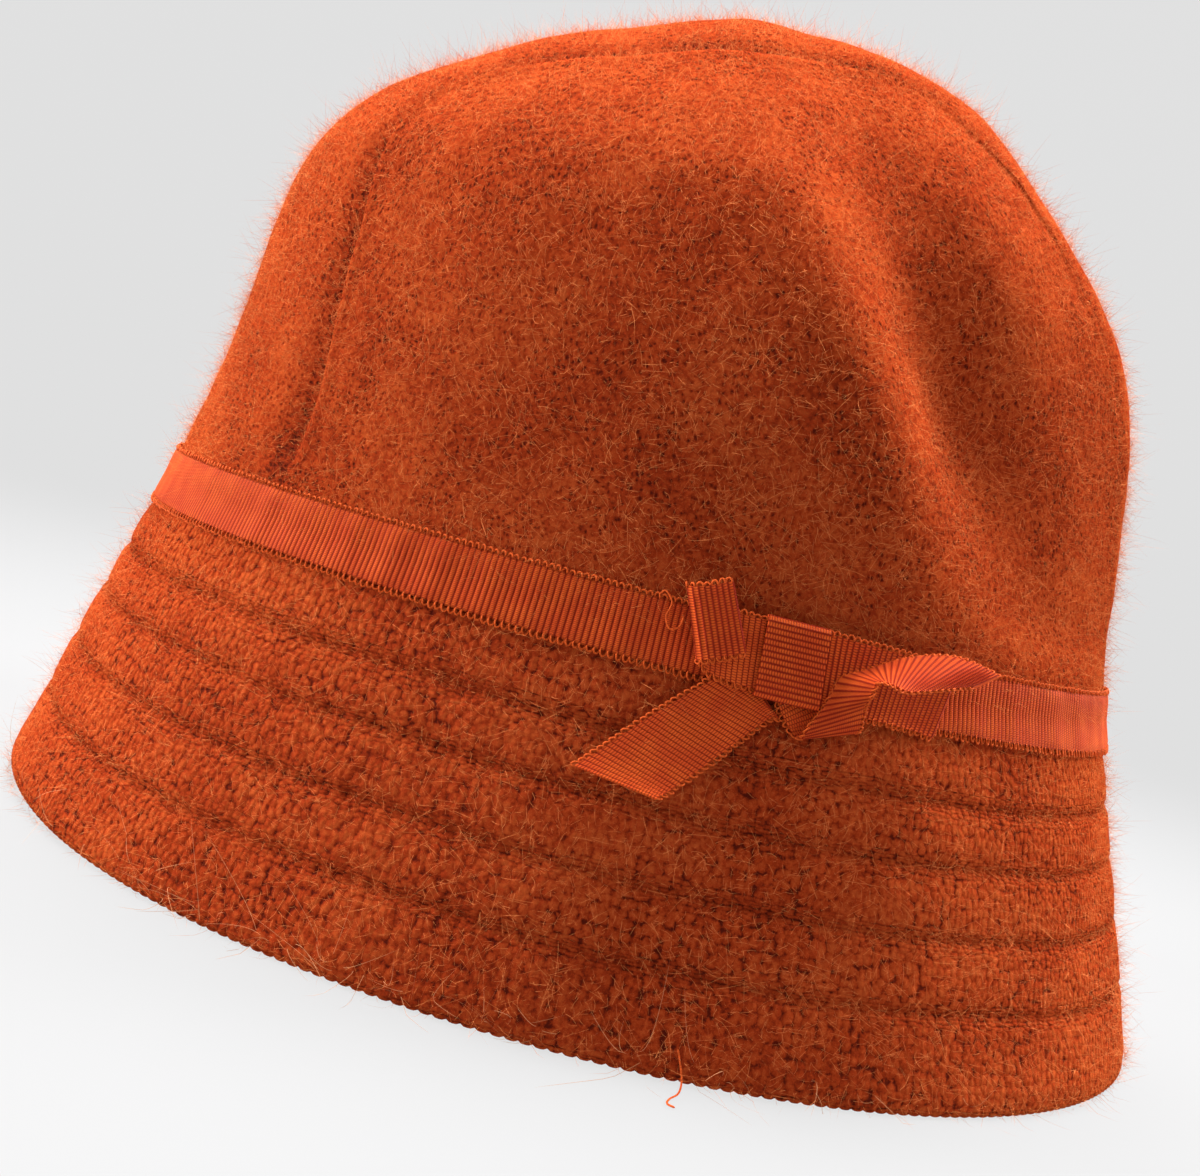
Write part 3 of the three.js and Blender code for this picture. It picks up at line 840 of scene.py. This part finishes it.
def close_up(piece, gap):
    """Joins the points that meet and turns the faces outwards."""
    choose(piece)
    bpy.ops.object.mode_set(mode="EDIT")
    bpy.ops.mesh.select_all(action="SELECT")
    bpy.ops.mesh.remove_doubles(threshold=gap)
    bpy.ops.mesh.normals_make_consistent(inside=False)
    bpy.ops.object.mode_set(mode="OBJECT")


def face_outwards(piece, centre):
    """Turns an open grid's faces so that they look away from a centre."""
    face = piece.data.polygons[len(piece.data.polygons) // 2]
    if face.normal.dot(face.center - Vector(centre)) < 0:
        choose(piece)
        bpy.ops.object.mode_set(mode="EDIT")
        bpy.ops.mesh.select_all(action="SELECT")
        bpy.ops.mesh.flip_normals()
        bpy.ops.object.mode_set(mode="OBJECT")


def thicken(piece, thickness, offset):
    """Gives a sheet its wall."""
    choose(piece)
    wall = piece.modifiers.new("wall", "SOLIDIFY")
    wall.thickness = thickness
    wall.offset = offset
    wall.use_even_offset = True
    wall.use_quality_normals = True
    bpy.ops.object.modifier_apply(modifier=wall.name)
    bpy.ops.object.shade_smooth_by_angle(angle=math.radians(60))


def finish_piece(piece, material, replaced=()):
    """Puts a finished piece on the hat."""
    piece.data.materials.clear()
    piece.data.materials.append(material)
    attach(piece, "root")
    if replaced:
        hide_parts(*replaced)


def mesh_piece(name, points, faces):
    """A mesh object from arrays of points and of faces with equally many corners."""
    mesh = bpy.data.meshes.new(name)
    corners = faces.shape[1]
    mesh.vertices.add(len(points))
    mesh.vertices.foreach_set("co", np.ascontiguousarray(points, dtype=np.float32).ravel())
    mesh.loops.add(faces.size)
    mesh.loops.foreach_set("vertex_index", np.ascontiguousarray(faces, dtype=np.int32).ravel())
    mesh.polygons.add(len(faces))
    mesh.polygons.foreach_set("loop_start", np.arange(len(faces), dtype=np.int32) * corners)
    mesh.update(calc_edges=True)
    mesh.validate()
    piece = bpy.data.objects.new(name, mesh)
    bpy.context.scene.collection.objects.link(piece)
    return piece


def tubes(name, lines, radius, aside, sides):
    """Thin tubes round many centre lines, closed at their ends."""
    course = unit(np.gradient(lines, axis=1))
    first = unit(np.cross(course, aside))
    second = np.cross(course, first)
    turn = np.arange(sides) / sides * 2 * math.pi
    ring = first[:, :, None] * np.cos(turn)[:, None] + second[:, :, None] * np.sin(turn)[:, None]
    count = lines.shape[1]
    taper = np.ones(count)
    taper[[0, -1]] = 0
    points = lines[:, :, None] + ring * (radius * taper)[:, None, None]
    at = np.arange(len(lines) * count * sides).reshape(len(lines), count, sides)
    beside = np.roll(at, -1, 2)
    faces = np.stack([at[:, :-1], beside[:, :-1], beside[:, 1:], at[:, 1:]], -1)
    piece = mesh_piece(name, points.reshape(-1, 3), faces.reshape(-1, 4))
    close_up(piece, 1e-7)
    bpy.ops.object.shade_smooth()
    return piece


def strips(name, lines, width, aside):
    """Flat hairs along many centre lines, narrowing to their tips."""
    count = lines.shape[1]
    course = unit(np.gradient(lines, axis=1))
    across = unit(np.cross(course, aside[:, None]))
    narrow = 1 - 0.6 * np.linspace(0, 1, count)[:-1, None]
    half = across[:, :-1] * narrow * width / 2
    both = np.stack([lines[:, :-1] - half, lines[:, :-1] + half], 2).reshape(len(lines), -1, 3)
    points = np.concatenate([both, lines[:, -1:]], 1)
    corners = [(i, i + 1, i + 2) if i % 2 == 0 else (i + 1, i, i + 2) for i in range(2 * count - 3)]
    starts = np.arange(len(lines))[:, None, None] * (2 * count - 1)
    faces = starts + np.array(corners)
    return mesh_piece(name, points.reshape(-1, 3), faces.reshape(-1, 3))


def lay(place, columns, rows):
    """A surface's points on an even grid."""
    return place(*np.meshgrid(np.linspace(0, 1, columns + 1), np.linspace(0, 1, rows + 1)))


def scatter(grid, count, rng):
    """Random places on a grid of points, evenly over its area, with their normals."""
    a, b, c, d = grid[:-1, :-1], grid[:-1, 1:], grid[1:, 1:], grid[1:, :-1]
    normal = np.cross(c - a, d - b)
    area = np.linalg.norm(normal, axis=-1).ravel()
    cell = rng.choice(area.size, count, p=area / area.sum())
    s, t = rng.random((2, count, 1))
    a, b, c, d, normal = (corner.reshape(-1, 3)[cell] for corner in (a, b, c, d, normal))
    place = (a * (1 - s) + b * s) * (1 - t) + (d * (1 - s) + c * s) * t
    normal = unit(normal)
    away = np.einsum("ij,ij->i", normal, place - crown_foot * np.array([1, 1, 0.7]))
    return place, normal * np.sign(away)[:, None]


def fibre_lines(place, normal, lengths, lean, curl, points, rng):
    """Curved centre lines of fibres that lean off the normal and curl on their way."""
    random = rng.normal(size=place.shape)
    along = unit(np.cross(normal, random))
    start = normal * np.cos(lean)[:, None] + along * np.sin(lean)[:, None]
    bend = unit(rng.normal(size=place.shape)) * curl[:, None]
    share = np.linspace(0, 1, points)[None, :, None]
    reach = lengths[:, None, None]
    line = place[:, None] + start[:, None] * share * reach + bend[:, None] * share**2 * reach
    depth = np.einsum("ijk,ik->ij", line - place[:, None], normal)
    sunk = np.minimum(depth - 0.05 * MM * share[..., 0], 0)
    line = line - normal[:, None] * sunk[..., None]
    line[..., 2] = np.maximum(line[..., 2], 0.1 * MM)
    return line


# Materials

class Value:
    """One output in a material's nodes. Sums and products of values add their Math nodes."""

    def __init__(self, finish, socket):
        self.finish = finish
        self.socket = socket

    def math(self, operation, *others):
        numbers = dict(enumerate((self, *others)))
        return self.finish.node("ShaderNodeMath", {"operation": operation}, numbers)

    def __add__(self, other):
        return self.math("ADD", other)

    def __mul__(self, other):
        return self.math("MULTIPLY", other)

    def __sub__(self, other):
        return self.math("SUBTRACT", other)

    def sine(self):
        return self.math("SINE")

    def size(self):
        return self.math("ABSOLUTE")

    def between(self, low, high, start=0.0, end=1.0):
        """The value stretched from low..high to start..end, smoothly and clamped."""
        settings = {"interpolation_type": "SMOOTHSTEP"}
        inputs = {0: self, 1: low, 2: high, 3: start, 4: end}
        return self.finish.node("ShaderNodeMapRange", settings, inputs)


class Finish:
    """A material with a Principled shader, and the way to add nodes to it."""

    def __init__(self, name, **constants):
        self.material = bpy.data.materials.new(name)
        self.material.use_nodes = True
        self.tree = self.material.node_tree
        self.shader = self.tree.nodes["Principled BSDF"]
        for socket, value in constants.items():
            self.shader.inputs[socket.replace("_", " ")].default_value = value

    def node(self, kind, settings=None, inputs=None, output=0):
        made = self.tree.nodes.new(kind)
        for name, value in (settings or {}).items():
            if name == "stops":
                self.set_stops(made.color_ramp, value)
            else:
                setattr(made, name, value)
        for key, value in (inputs or {}).items():
            if isinstance(value, Value):
                self.tree.links.new(value.socket, made.inputs[key])
            else:
                made.inputs[key].default_value = value
        return Value(self, made.outputs[output])

    @staticmethod
    def set_stops(ramp, stops):
        while len(ramp.elements) < len(stops):
            ramp.elements.new(1.0)
        for element, (position, colour) in zip(ramp.elements, stops):
            element.position = position
            element.color = (*colour, 1.0)

    def mix(self, factor, first, second, blend="MIX"):
        first, second = (x if isinstance(x, Value) else (*x, 1.0) for x in (first, second))
        settings = {"data_type": "RGBA", "blend_type": blend}
        return self.node("ShaderNodeMix", settings, {0: factor, 6: first, 7: second}, 2)

    def cloth(self, scale_x, scale_y):
        """The cloth's own map, in patterns of the given size."""
        uv = self.node("ShaderNodeUVMap", {"uv_map": "UVMap"})
        return self.node("ShaderNodeMapping", None, {"Vector": uv, "Scale": (1 / scale_x, 1 / scale_y, 1)})

    def in_space(self, scale):
        place = self.node("ShaderNodeTexCoord", output="Object")
        return self.node("ShaderNodeMapping", None, {"Vector": place, "Scale": (1 / scale,) * 3})

    def noise(self, vector, detail=2.0, roughness=0.5, distortion=0.0):
        inputs = {"Vector": vector, "Scale": 1.0, "Detail": detail}
        inputs.update({"Roughness": roughness, "Distortion": distortion})
        return self.node("ShaderNodeTexNoise", None, inputs)

    def strands(self, scale, distortion):
        """Thin light lines that cross at random."""
        wave = self.noise(self.in_space(scale), 1.0, 0.5, distortion)
        return (wave - 0.5).size().between(0.05, 0.0)

    def cells(self, vector, randomness):
        inputs = {"Vector": vector, "Scale": 1.0, "Randomness": randomness}
        return self.node("ShaderNodeTexVoronoi", {"voronoi_dimensions": "2D"}, inputs, "Distance")

    def show(self, **links):
        """Links colour and normal to the shader."""
        for socket, value in links.items():
            self.tree.links.new(value.socket, self.shader.inputs[socket.replace("_", " ")])
        return self.material

    def bump(self, height, distance):
        inputs = {"Height": height, "Distance": distance, "Strength": 1.0}
        return self.node("ShaderNodeBump", None, inputs)


def felt_finish(name, stitch, openness, knitted):
    """Felted knit: stitches or the pits between them with painted shade in the pits, matted strands over
    them, a mottled dye and painted shade along seams and stitching.
    """
    tint = colours()
    felt = Finish(name, Roughness=0.9, Sheen_Weight=0.05, Sheen_Roughness=0.5)
    felt.shader.inputs["Sheen Tint"].default_value = (1.0, 0.3, 0.06, 1.0)
    felt.shader.inputs["Specular IOR Level"].default_value = 0.0
    warp = felt.noise(felt.in_space(1.7 * MM), 2.0)
    bend = 0.55 if knitted else 1.1
    shift = felt.node("ShaderNodeCombineXYZ", None, {0: warp * bend, 1: warp * -0.6 * bend})
    warped = felt.node("ShaderNodeVectorMath", {"operation": "ADD"}, {0: felt.cloth(*stitch), 1: shift})
    cell = felt.cells(warped, 0.62 if knitted else 0.7)
    gaps = cell.between(0.4, 0.74) if knitted else cell.between(0.44, 0.02)
    cover = felt.noise(felt.in_space(9 * MM), 3.0, 0.6).between(0.36, 0.64, openness, 1.0)
    tufts = felt.noise(felt.in_space(1.1 * MM), 3.0, 0.6, 0.4)
    # Painted shade along the seams and rows of stitching, read from the mesh.
    worn = felt.node("ShaderNodeAttribute", {"attribute_name": "worn"}, output=2)
    # The gaps sink in the bump and are darkened with painted shade, most of all along the seams and
    # stitching.
    gap_depth_and_shade = gaps * cover.math("MAXIMUM", worn) * tufts.between(0.7 if knitted else 0.66, 0.4)
    hairs = felt.strands(0.9 * MM, 2.5) * 0.6 + felt.strands(0.6 * MM, 1.2) * 0.4
    mottle = felt.noise(felt.in_space(21 * MM), 2.0, 0.5).between(0.3, 0.7)
    shade = tufts.between(0.27, 0.73) * 0.44 + hairs * 0.3 + mottle * 0.2 + 0.14
    # Painted shade: darker in the gaps and along the seams and stitching.
    shade = shade - gap_depth_and_shade * 0.46 - worn * 0.15
    height = tufts * 0.5 + hairs * 0.3 - gap_depth_and_shade * 0.8
    if knitted:
        # Painted highlight on the middle of each stitch and painted shade towards its edges.
        shade = shade + 0.1 - cell * 0.24
        height = height * 0.6 - cell * 1.5
    # The ramp's dark end is painted shade in the pits and grooves.
    stops = [(0.0, tint.felt_pit_shade), (0.42, tint.felt_middle), (1.0, tint.felt_light)]
    ramp = felt.node("ShaderNodeValToRGB", {"stops": stops}, {0: shade})
    return felt.show(Base_Color=ramp, Normal=felt.bump(height, 0.34 * MM))


def ribbon_finish():
    """Ribbed ribbon: cord-like ribs wrapped with fine thread, with painted highlight on the ribs and beads
    and painted shade between them.
    """
    tint = colours()
    pitch = sizes().rib_pitch
    silk = Finish("ribbed_ribbon", Roughness=0.55)
    silk.shader.inputs["Specular IOR Level"].default_value = 0.02
    cloth = silk.cloth(pitch, 0.45 * MM)
    along, across = (silk.node("ShaderNodeSeparateXYZ", None, {0: cloth}, axis) for axis in (0, 1))
    rib = (along * math.pi).sine().size()
    odd = (along * 0.5).math("FRACT").math("GREATER_THAN", 0.5)
    beads = ((across + odd * 0.5) * math.pi).sine().size()
    thread = beads.between(0.05, 0.75)
    wear = silk.noise(silk.in_space(4 * MM), 3.0)
    # Painted highlight on the tops of the ribs and beads, painted shade in the valleys between them.
    lit = rib.between(0.1, 0.8) * (thread * 0.7 + 0.3)
    fresh = silk.mix(wear.between(0.3, 0.75), tint.ribbon, tint.ribbon_edge)
    colour = silk.mix(lit, tint.ribbon_valley_shade, fresh)
    return silk.show(Base_Color=colour, Normal=silk.bump(thread, 0.12 * MM))


def thread_finish(name, colour):
    """Twisted thread."""
    thread = Finish(name, Roughness=0.7)
    thread.shader.inputs["Specular IOR Level"].default_value = 0.05
    strands = thread.noise(thread.in_space(0.25 * MM), 2.0)
    shade = thread.mix(strands.between(0.3, 0.7), [0.55 * c for c in colour], colour)
    return thread.show(Base_Color=shade)


def fibre_finish(name, colour):
    """Single loose fibres, too thin to show a pattern."""
    fibre = Finish(name, Roughness=0.8)
    # The fibres' orange is made lighter as painted light for the glow of lit fibres.
    fibre.shader.inputs["Base Color"].default_value = (*colour, 1.0)
    fibre.shader.inputs["Specular IOR Level"].default_value = 0.0
    return fibre.material


# Pieces

def panel(name, columns, rows, place, cloth_size, worn, material):
    piece = cloth_grid(name, columns, rows, place, cloth_size, worn=worn)
    face_outwards(piece, crown_foot)
    thicken(piece, CROWN_WALL, -1)
    finish_piece(piece, material, [name.replace("felt_", "")])
    return piece


class ClocheCamera(bpy.types.Operator):
    """Sets up the camera at the photograph's angle"""

    bl_idname = "cloche.camera"
    bl_label = "Camera"

    def execute(self, context):
        turn = math.radians(CAMERA_TURN)
        place = Vector((CAMERA_DISTANCE * math.cos(turn), CAMERA_DISTANCE * math.sin(turn), CAMERA_HEIGHT))
        forward = Vector((-math.cos(turn), -math.sin(turn), 0))
        up = Vector((0, 0, 1))
        right = forward.cross(up)
        yaw = Matrix.Rotation(math.radians(CAMERA_YAW), 3, up)
        forward, right = yaw @ forward, yaw @ right
        pitch = Matrix.Rotation(math.radians(CAMERA_PITCH), 3, right)
        forward, up = pitch @ forward, pitch @ up
        roll = Matrix.Rotation(math.radians(CAMERA_ROLL), 3, forward)
        right, up = roll @ right, roll @ up
        bpy.ops.object.camera_add(location=place)
        camera = context.active_object
        camera.name = "photo_camera"
        camera.rotation_euler = Matrix((right, up, -forward)).transposed().to_euler()
        camera.data.sensor_width = SENSOR_MM
        camera.data.lens = FOCAL_PX / PHOTO_WIDTH_PX * SENSOR_MM
        camera.data.clip_start = 0.01
        camera.data.clip_end = 50
        context.scene.camera = camera
        return {"FINISHED"}


class ClocheCrown(bpy.types.Operator):
    """Makes the crown's three panels of felted knit"""

    bl_idname = "cloche.crown"
    bl_label = "Crown"

    def execute(self, context):
        felt = felt_finish("felt_crown", (1.25 * MM, 1.55 * MM), 0.3, False)
        for name, mirror in (("felt_crown_side_left", 1), ("felt_crown_side_right", -1)):
            piece = panel(name, 160, 84, side_panel(mirror), SIDE_MAP, side_groove_shade, felt)
        piece = panel("felt_crown_centre", 48, 200, centre_panel, CENTRE_MAP, centre_groove_shade, felt)
        return {"FINISHED"}


class ClocheBrim(bpy.types.Operator):
    """Makes the quilted brim"""

    bl_idname = "cloche.brim"
    bl_label = "Brim"

    def execute(self, context):
        felt = felt_finish("felt_brim", (1.4 * MM, 2.0 * MM), 0.35, True)
        columns, rows = 4 * RIM_BUMPS, brim_section_rows()
        piece = cloth_grid("felt_brim", columns, rows, brim_loop, BRIM_MAP, True, brim_groove_shade)
        finish_piece(piece, felt, ["brim"])
        return {"FINISHED"}


class ClocheBand(bpy.types.Operator):
    """Makes the ribbon round the head line"""

    bl_idname = "cloche.band"
    bl_label = "Ribbon band"

    def execute(self, context):
        cloth = (rib_count() * sizes().rib_pitch, 2 * RIBBON_WIDTH)
        piece = cloth_grid("ribbon_round_crown", rib_count() * 4, 13, band_loop, cloth, True)
        finish_piece(piece, ribbon_finish(), ["ribbon_band"])
        return {"FINISHED"}


class ClocheBow(bpy.types.Operator):
    """Makes the bow's ribbons and its knot"""

    bl_idname = "cloche.bow"
    bl_label = "Bow"

    def execute(self, context):
        ribbon = ribbon_finish()
        for name, edges in bow_pieces().items():
            course = Course(edges)
            ribs_along = round(course.length / sizes().rib_pitch)
            cloth = (float(course.length), KNOT_WIDTH if name == "bow_knot" else RIBBON_WIDTH)
            piece = cloth_grid("ribbon_" + name, ribs_along * 4, 8, self.surface(course), cloth)
            thicken(piece, RIBBON_CLOTH, 0)
            finish_piece(piece, ribbon, [name])
        return {"FINISHED"}

    @staticmethod
    def surface(course):
        def place(u, v):
            first, second, normal = course.at(u)
            edge = smoothstep(0, 0.08, np.minimum(v, 1 - v))
            wave = (ribs(u * course.length) - sizes().rib_depth / 2) * edge
            return lerp(first, second, v[..., None]) + normal * wave[..., None]

        return place


def bow_pieces():
    return {
        "bow_left_loop": ribbon_edges(LEFT_LOOP),
        "bow_right_end": ribbon_edges(RIGHT_END),
        "bow_left_tail": ribbon_edges(LEFT_TAIL),
        "bow_right_tail": ribbon_edges(RIGHT_TAIL),
        "bow_knot": knot_edges(),
    }


class ClocheLoops(bpy.types.Operator):
    """Makes the chains of small loops along the ribbon's edges"""

    bl_idname = "cloche.loops"
    bl_label = "Edge loops"

    def execute(self, context):
        edge_thread = thread_finish("edge_thread", colours().ribbon_edge)
        angle = np.linspace(0, 2 * math.pi, 1441)
        inwards = oval_point(angle, BRIM_HEIGHT, GAP + BAND_FACE)
        for name, way, reach in (("band_loops_top", 1, 0.7), ("band_loops_foot", -1, 0.95)):
            height = BRIM_HEIGHT + way * (RIBBON_WIDTH - 1.4 * MM) / 2
            edge = oval_point(angle, height, GAP + BAND_FACE)
            piece = self.chain(name, [(edge, inwards)], reach * MM)
            finish_piece(piece, edge_thread)
        courses = [Course(edges) for name, edges in bow_pieces().items() if name != "bow_knot"]
        sides = [
            (course.edges[:, side], course.edges[:, 1 - side]) for course in courses for side in (0, 1)
        ]
        finish_piece(self.chain("bow_loops", sides, 0.75 * MM), edge_thread)
        return {"FINISHED"}

    @staticmethod
    def chain(name, edges, reach):
        """Joined loops along edges, each given with the points that lie inwards of it."""
        rng = np.random.default_rng(sizes().seed + 20)
        lines, asides = [], []
        for edge, inwards in edges:
            along = grid_lengths(edge, 0)
            count = round(along[-1] / sizes().loop_pitch)
            middle = (np.arange(count) + 0.5 + rng.uniform(-0.08, 0.08, count)) * along[-1] / count
            place, inner = (
                np.stack([np.interp(middle, along, points[:, axis]) for axis in range(3)], -1)
                for points in (edge, inwards)
            )
            course = unit(np.gradient(place, axis=0))
            outwards = unit(place - inner)
            normal = unit(np.cross(course, outwards))
            theta = np.radians(np.linspace(-35, 215, 8))[None, :, None]
            wide = sizes().loop_pitch * rng.uniform(0.34, 0.46, (count, 1, 1))
            high = reach * rng.uniform(0.7, 1.1, (count, 1, 1))
            arch = course[:, None] * np.cos(theta) * wide + outwards[:, None] * np.sin(theta) * high
            twist = np.cos(theta) * 0.16 * MM + rng.uniform(-0.1, 0.1, (count, 1, 1)) * MM
            lines.append(place[:, None] + arch + normal[:, None] * twist)
            asides.append(np.broadcast_to(normal[:, None], lines[-1].shape))
        radius = np.full(8, LOOP_THREAD_RADIUS)
        return tubes(name, np.concatenate(lines), radius, np.concatenate(asides), 4)


class ClocheFibres(bpy.types.Operator):
    """Grows the loose fibres of the felt"""

    bl_idname = "cloche.fibres"
    bl_label = "Fibres"

    def execute(self, context):
        wool = fibre_finish("loose_fibres", colours().fibre)
        rng = np.random.default_rng(sizes().seed + 40)
        for name, grid in felt_grids().items():
            across, back = grid[1:, 1:] - grid[:-1, :-1], grid[1:, :-1] - grid[:-1, 1:]
            area = np.linalg.norm(np.cross(across, back), axis=-1).sum() / 2
            cover = sizes().fibre_cover * (BRIM_FIBRES if "brim" in name else 1)
            short_count = round(area / MM**2 * cover)
            for row in FIBRE_KINDS:
                kind = dict(zip(FIBRE_COLUMNS, row))
                count = round(short_count * kind["share"])
                piece = self.growth(f"fibres_{kind['kind']}_{name}", grid, count, kind, rng)
                finish_piece(piece, wool)
        return {"FINISHED"}

    @staticmethod
    def growth(name, grid, count, kind, rng):
        """Fibres of one kind, spread over one part of the felt."""
        place, normal = scatter(grid, count, rng)
        longer = np.minimum(rng.lognormal(kind["log_length"], FIBRE_SPREAD, count), kind["longest"])
        lean = np.radians(rng.uniform(*kind["lean"], count))
        curl = rng.uniform(*kind["curl"], count)
        length = sizes().fibre_length * longer
        lines = fibre_lines(place, normal, length, lean, curl, kind["points"], rng)
        return strips(name, lines, kind["width"] * sizes().fibre_width, unit(rng.normal(size=(count, 3))))


def felt_grids():
    """Outside of the felt, part by part."""
    brim = {
        name: lay(lambda u, v, start=start: brim_outside((start + u) * math.pi, 0.08 + 0.91 * v), 180, 40)
        for name, start in (("brim_back", 0), ("brim_front", 1))
    }
    return {
        "crown_side_left": lay(side_panel(1), 100, 52),
        "crown_side_right": lay(side_panel(-1), 100, 52),
        "crown_centre": lay(centre_panel, 28, 116),
        **brim,
    }


class ClocheThreads(bpy.types.Operator):
    """Adds the loose ends of thread and the long hairs at the rim"""

    bl_idname = "cloche.threads"
    bl_label = "Loose threads"

    def execute(self, context):
        sewing_thread = thread_finish("sewing_thread", colours().ribbon_edge)
        row = table(THREAD_COLUMNS, BAND_THREAD)
        line = bow_point(row["along"] * MM, row["up"] * MM, row["off"])
        self.thread("band_thread", line, sewing_thread, "ribbon")
        row = table(THREAD_COLUMNS, RIM_THREAD)
        angle = math.radians(RIM_THREAD_TURN) + row["along"] * MM / (RIM_WIDTH / 2)
        line = oval_point(angle, row["up"] * MM, row["off"] * MM)
        self.thread("rim_thread", line, sewing_thread, "felt")
        finish_piece(self.hairs(), fibre_finish("pale_hairs", colours().hair))
        return {"FINISHED"}

    @staticmethod
    def thread(name, points, material, slot):
        line = curve_through(points, 6)[None]
        aside = np.broadcast_to(np.array([0.3, 0.1, 0.95]), line.shape)
        finish_piece(tubes(name, line, np.full(line.shape[1], THREAD_RADIUS), aside, 6), material)

    @staticmethod
    def hairs():
        """Long hairs along the near side of the rim."""
        rng = np.random.default_rng(sizes().seed + 60)
        angle = rng.normal(-0.1, 0.45, HAIR_COUNT)
        place = oval_point(angle, rng.uniform(1, 4, HAIR_COUNT) * MM)
        normal = unit(place - oval_point(angle, 0.0, -10 * MM))
        length = rng.uniform(4, 9, HAIR_COUNT) * MM
        lean = rng.uniform(0.2, 1.3, HAIR_COUNT)
        curl = rng.uniform(0.8, 2.2, HAIR_COUNT)
        lines = fibre_lines(place, normal, length, lean, curl, 9, rng)
        return strips("rim_hairs", lines, HAIR_WIDTH, unit(rng.normal(size=(HAIR_COUNT, 3))))


class ClocheStage(bpy.types.Operator):
    """Lays the pale floor and sets the soft light"""

    bl_idname = "cloche.stage"
    bl_label = "Floor and light"

    def execute(self, context):
        context.scene.view_settings.view_transform = "Standard"
        self.floor()
        self.world(context)
        for row in LAMPS:
            self.lamp(context, *row)
        return {"FINISHED"}

    @staticmethod
    def floor():
        """A disc that rises smoothly into a wall far from the hat."""
        bend = np.linspace(0.1, math.pi / 2, 14)
        flat = np.linspace(0, FLOOR_RADIUS, 8)
        wall = FLOOR_RADIUS + BACKDROP_BEND
        radii = np.concatenate([flat, FLOOR_RADIUS + BACKDROP_BEND * np.sin(bend), [wall]])
        rises = np.concatenate([0 * flat, BACKDROP_BEND * (1 - np.cos(bend)), [BACKDROP_HEIGHT]])
        deselect()
        bpy.ops.mesh.primitive_grid_add(x_subdivisions=96, y_subdivisions=len(radii) - 1, size=1)
        floor = bpy.context.active_object
        floor.name = floor.data.name = "floor"
        for corner in floor.data.vertices:
            row = round((corner.co.y + 0.5) * (len(radii) - 1))
            angle = (corner.co.x + 0.5) * 2 * math.pi
            corner.co = (radii[row] * math.cos(angle), radii[row] * math.sin(angle), rises[row])
        bpy.ops.object.mode_set(mode="EDIT")
        bpy.ops.mesh.select_all(action="SELECT")
        bpy.ops.mesh.remove_doubles(threshold=1e-6)
        bpy.ops.object.mode_set(mode="OBJECT")
        bpy.ops.object.shade_smooth()
        paper = Finish("pale_floor", Roughness=0.85)
        paper.shader.inputs["Base Color"].default_value = (*colours().floor, 1.0)
        paper.shader.inputs["Emission Color"].default_value = (1.0, 1.0, 1.0, 1.0)
        paper.shader.inputs["Emission Strength"].default_value = FLOOR_GLOW
        paper.material.cycles.emission_sampling = "NONE"
        paper.shader.inputs["Specular IOR Level"].default_value = 0.0
        floor.data.materials.append(paper.material)

    @staticmethod
    def world(context):
        world = bpy.data.worlds.new("soft_world")
        context.scene.world = world
        world.use_nodes = True
        sky = world.node_tree.nodes["Background"]
        sky.inputs["Color"].default_value = (0.95, 0.97, 1.0, 1.0)
        sky.inputs["Strength"].default_value = SKY_STRENGTH

    @staticmethod
    def lamp(context, name, place, size, power):
        bpy.ops.object.light_add(type="AREA", location=place)
        lamp = context.active_object
        lamp.name = name
        lamp.data.shape = "DISK"
        lamp.data.size = size
        lamp.data.spread = math.radians(LAMP_SPREAD)
        lamp.data.energy = power
        aim = Vector(LAMP_TARGET) - Vector(place)
        lamp.rotation_euler = aim.to_track_quat("-Z", "Y").to_euler()
        lamp.visible_camera = False


class ClochePanel(bpy.types.Panel):
    """Lists the steps that dress the hat"""

    bl_idname = "CLOCHE_PT_steps"
    bl_label = "Cloche hat"
    bl_space_type = "VIEW_3D"
    bl_region_type = "UI"
    bl_category = "Hat"

    def draw(self, context):
        for step in STEPS:
            self.layout.operator(step.bl_idname)
        for group in (context.scene.cloche_sizes, context.scene.cloche_colours):
            for name in group.__annotations__:
                self.layout.prop(group, name)


STEPS = (
    ClocheCamera,
    ClocheCrown,
    ClocheBrim,
    ClocheBand,
    ClocheBow,
    ClocheLoops,
    ClocheFibres,
    ClocheThreads,
    ClocheStage,
)
CLASSES = (ClocheSizes, ClocheColours, *STEPS, ClochePanel)


def register():
    for cls in CLASSES:
        bpy.utils.register_class(cls)
    bpy.types.Scene.cloche_sizes = PointerProperty(type=ClocheSizes)
    bpy.types.Scene.cloche_colours = PointerProperty(type=ClocheColours)


def unregister():
    del bpy.types.Scene.cloche_colours
    del bpy.types.Scene.cloche_sizes
    for cls in reversed(CLASSES):
        bpy.utils.unregister_class(cls)


def main():
    register()
    for step in STEPS:
        group, name = step.bl_idname.split(".")
        getattr(getattr(bpy.ops, group), name)()


if __name__ == "__main__":
    main()
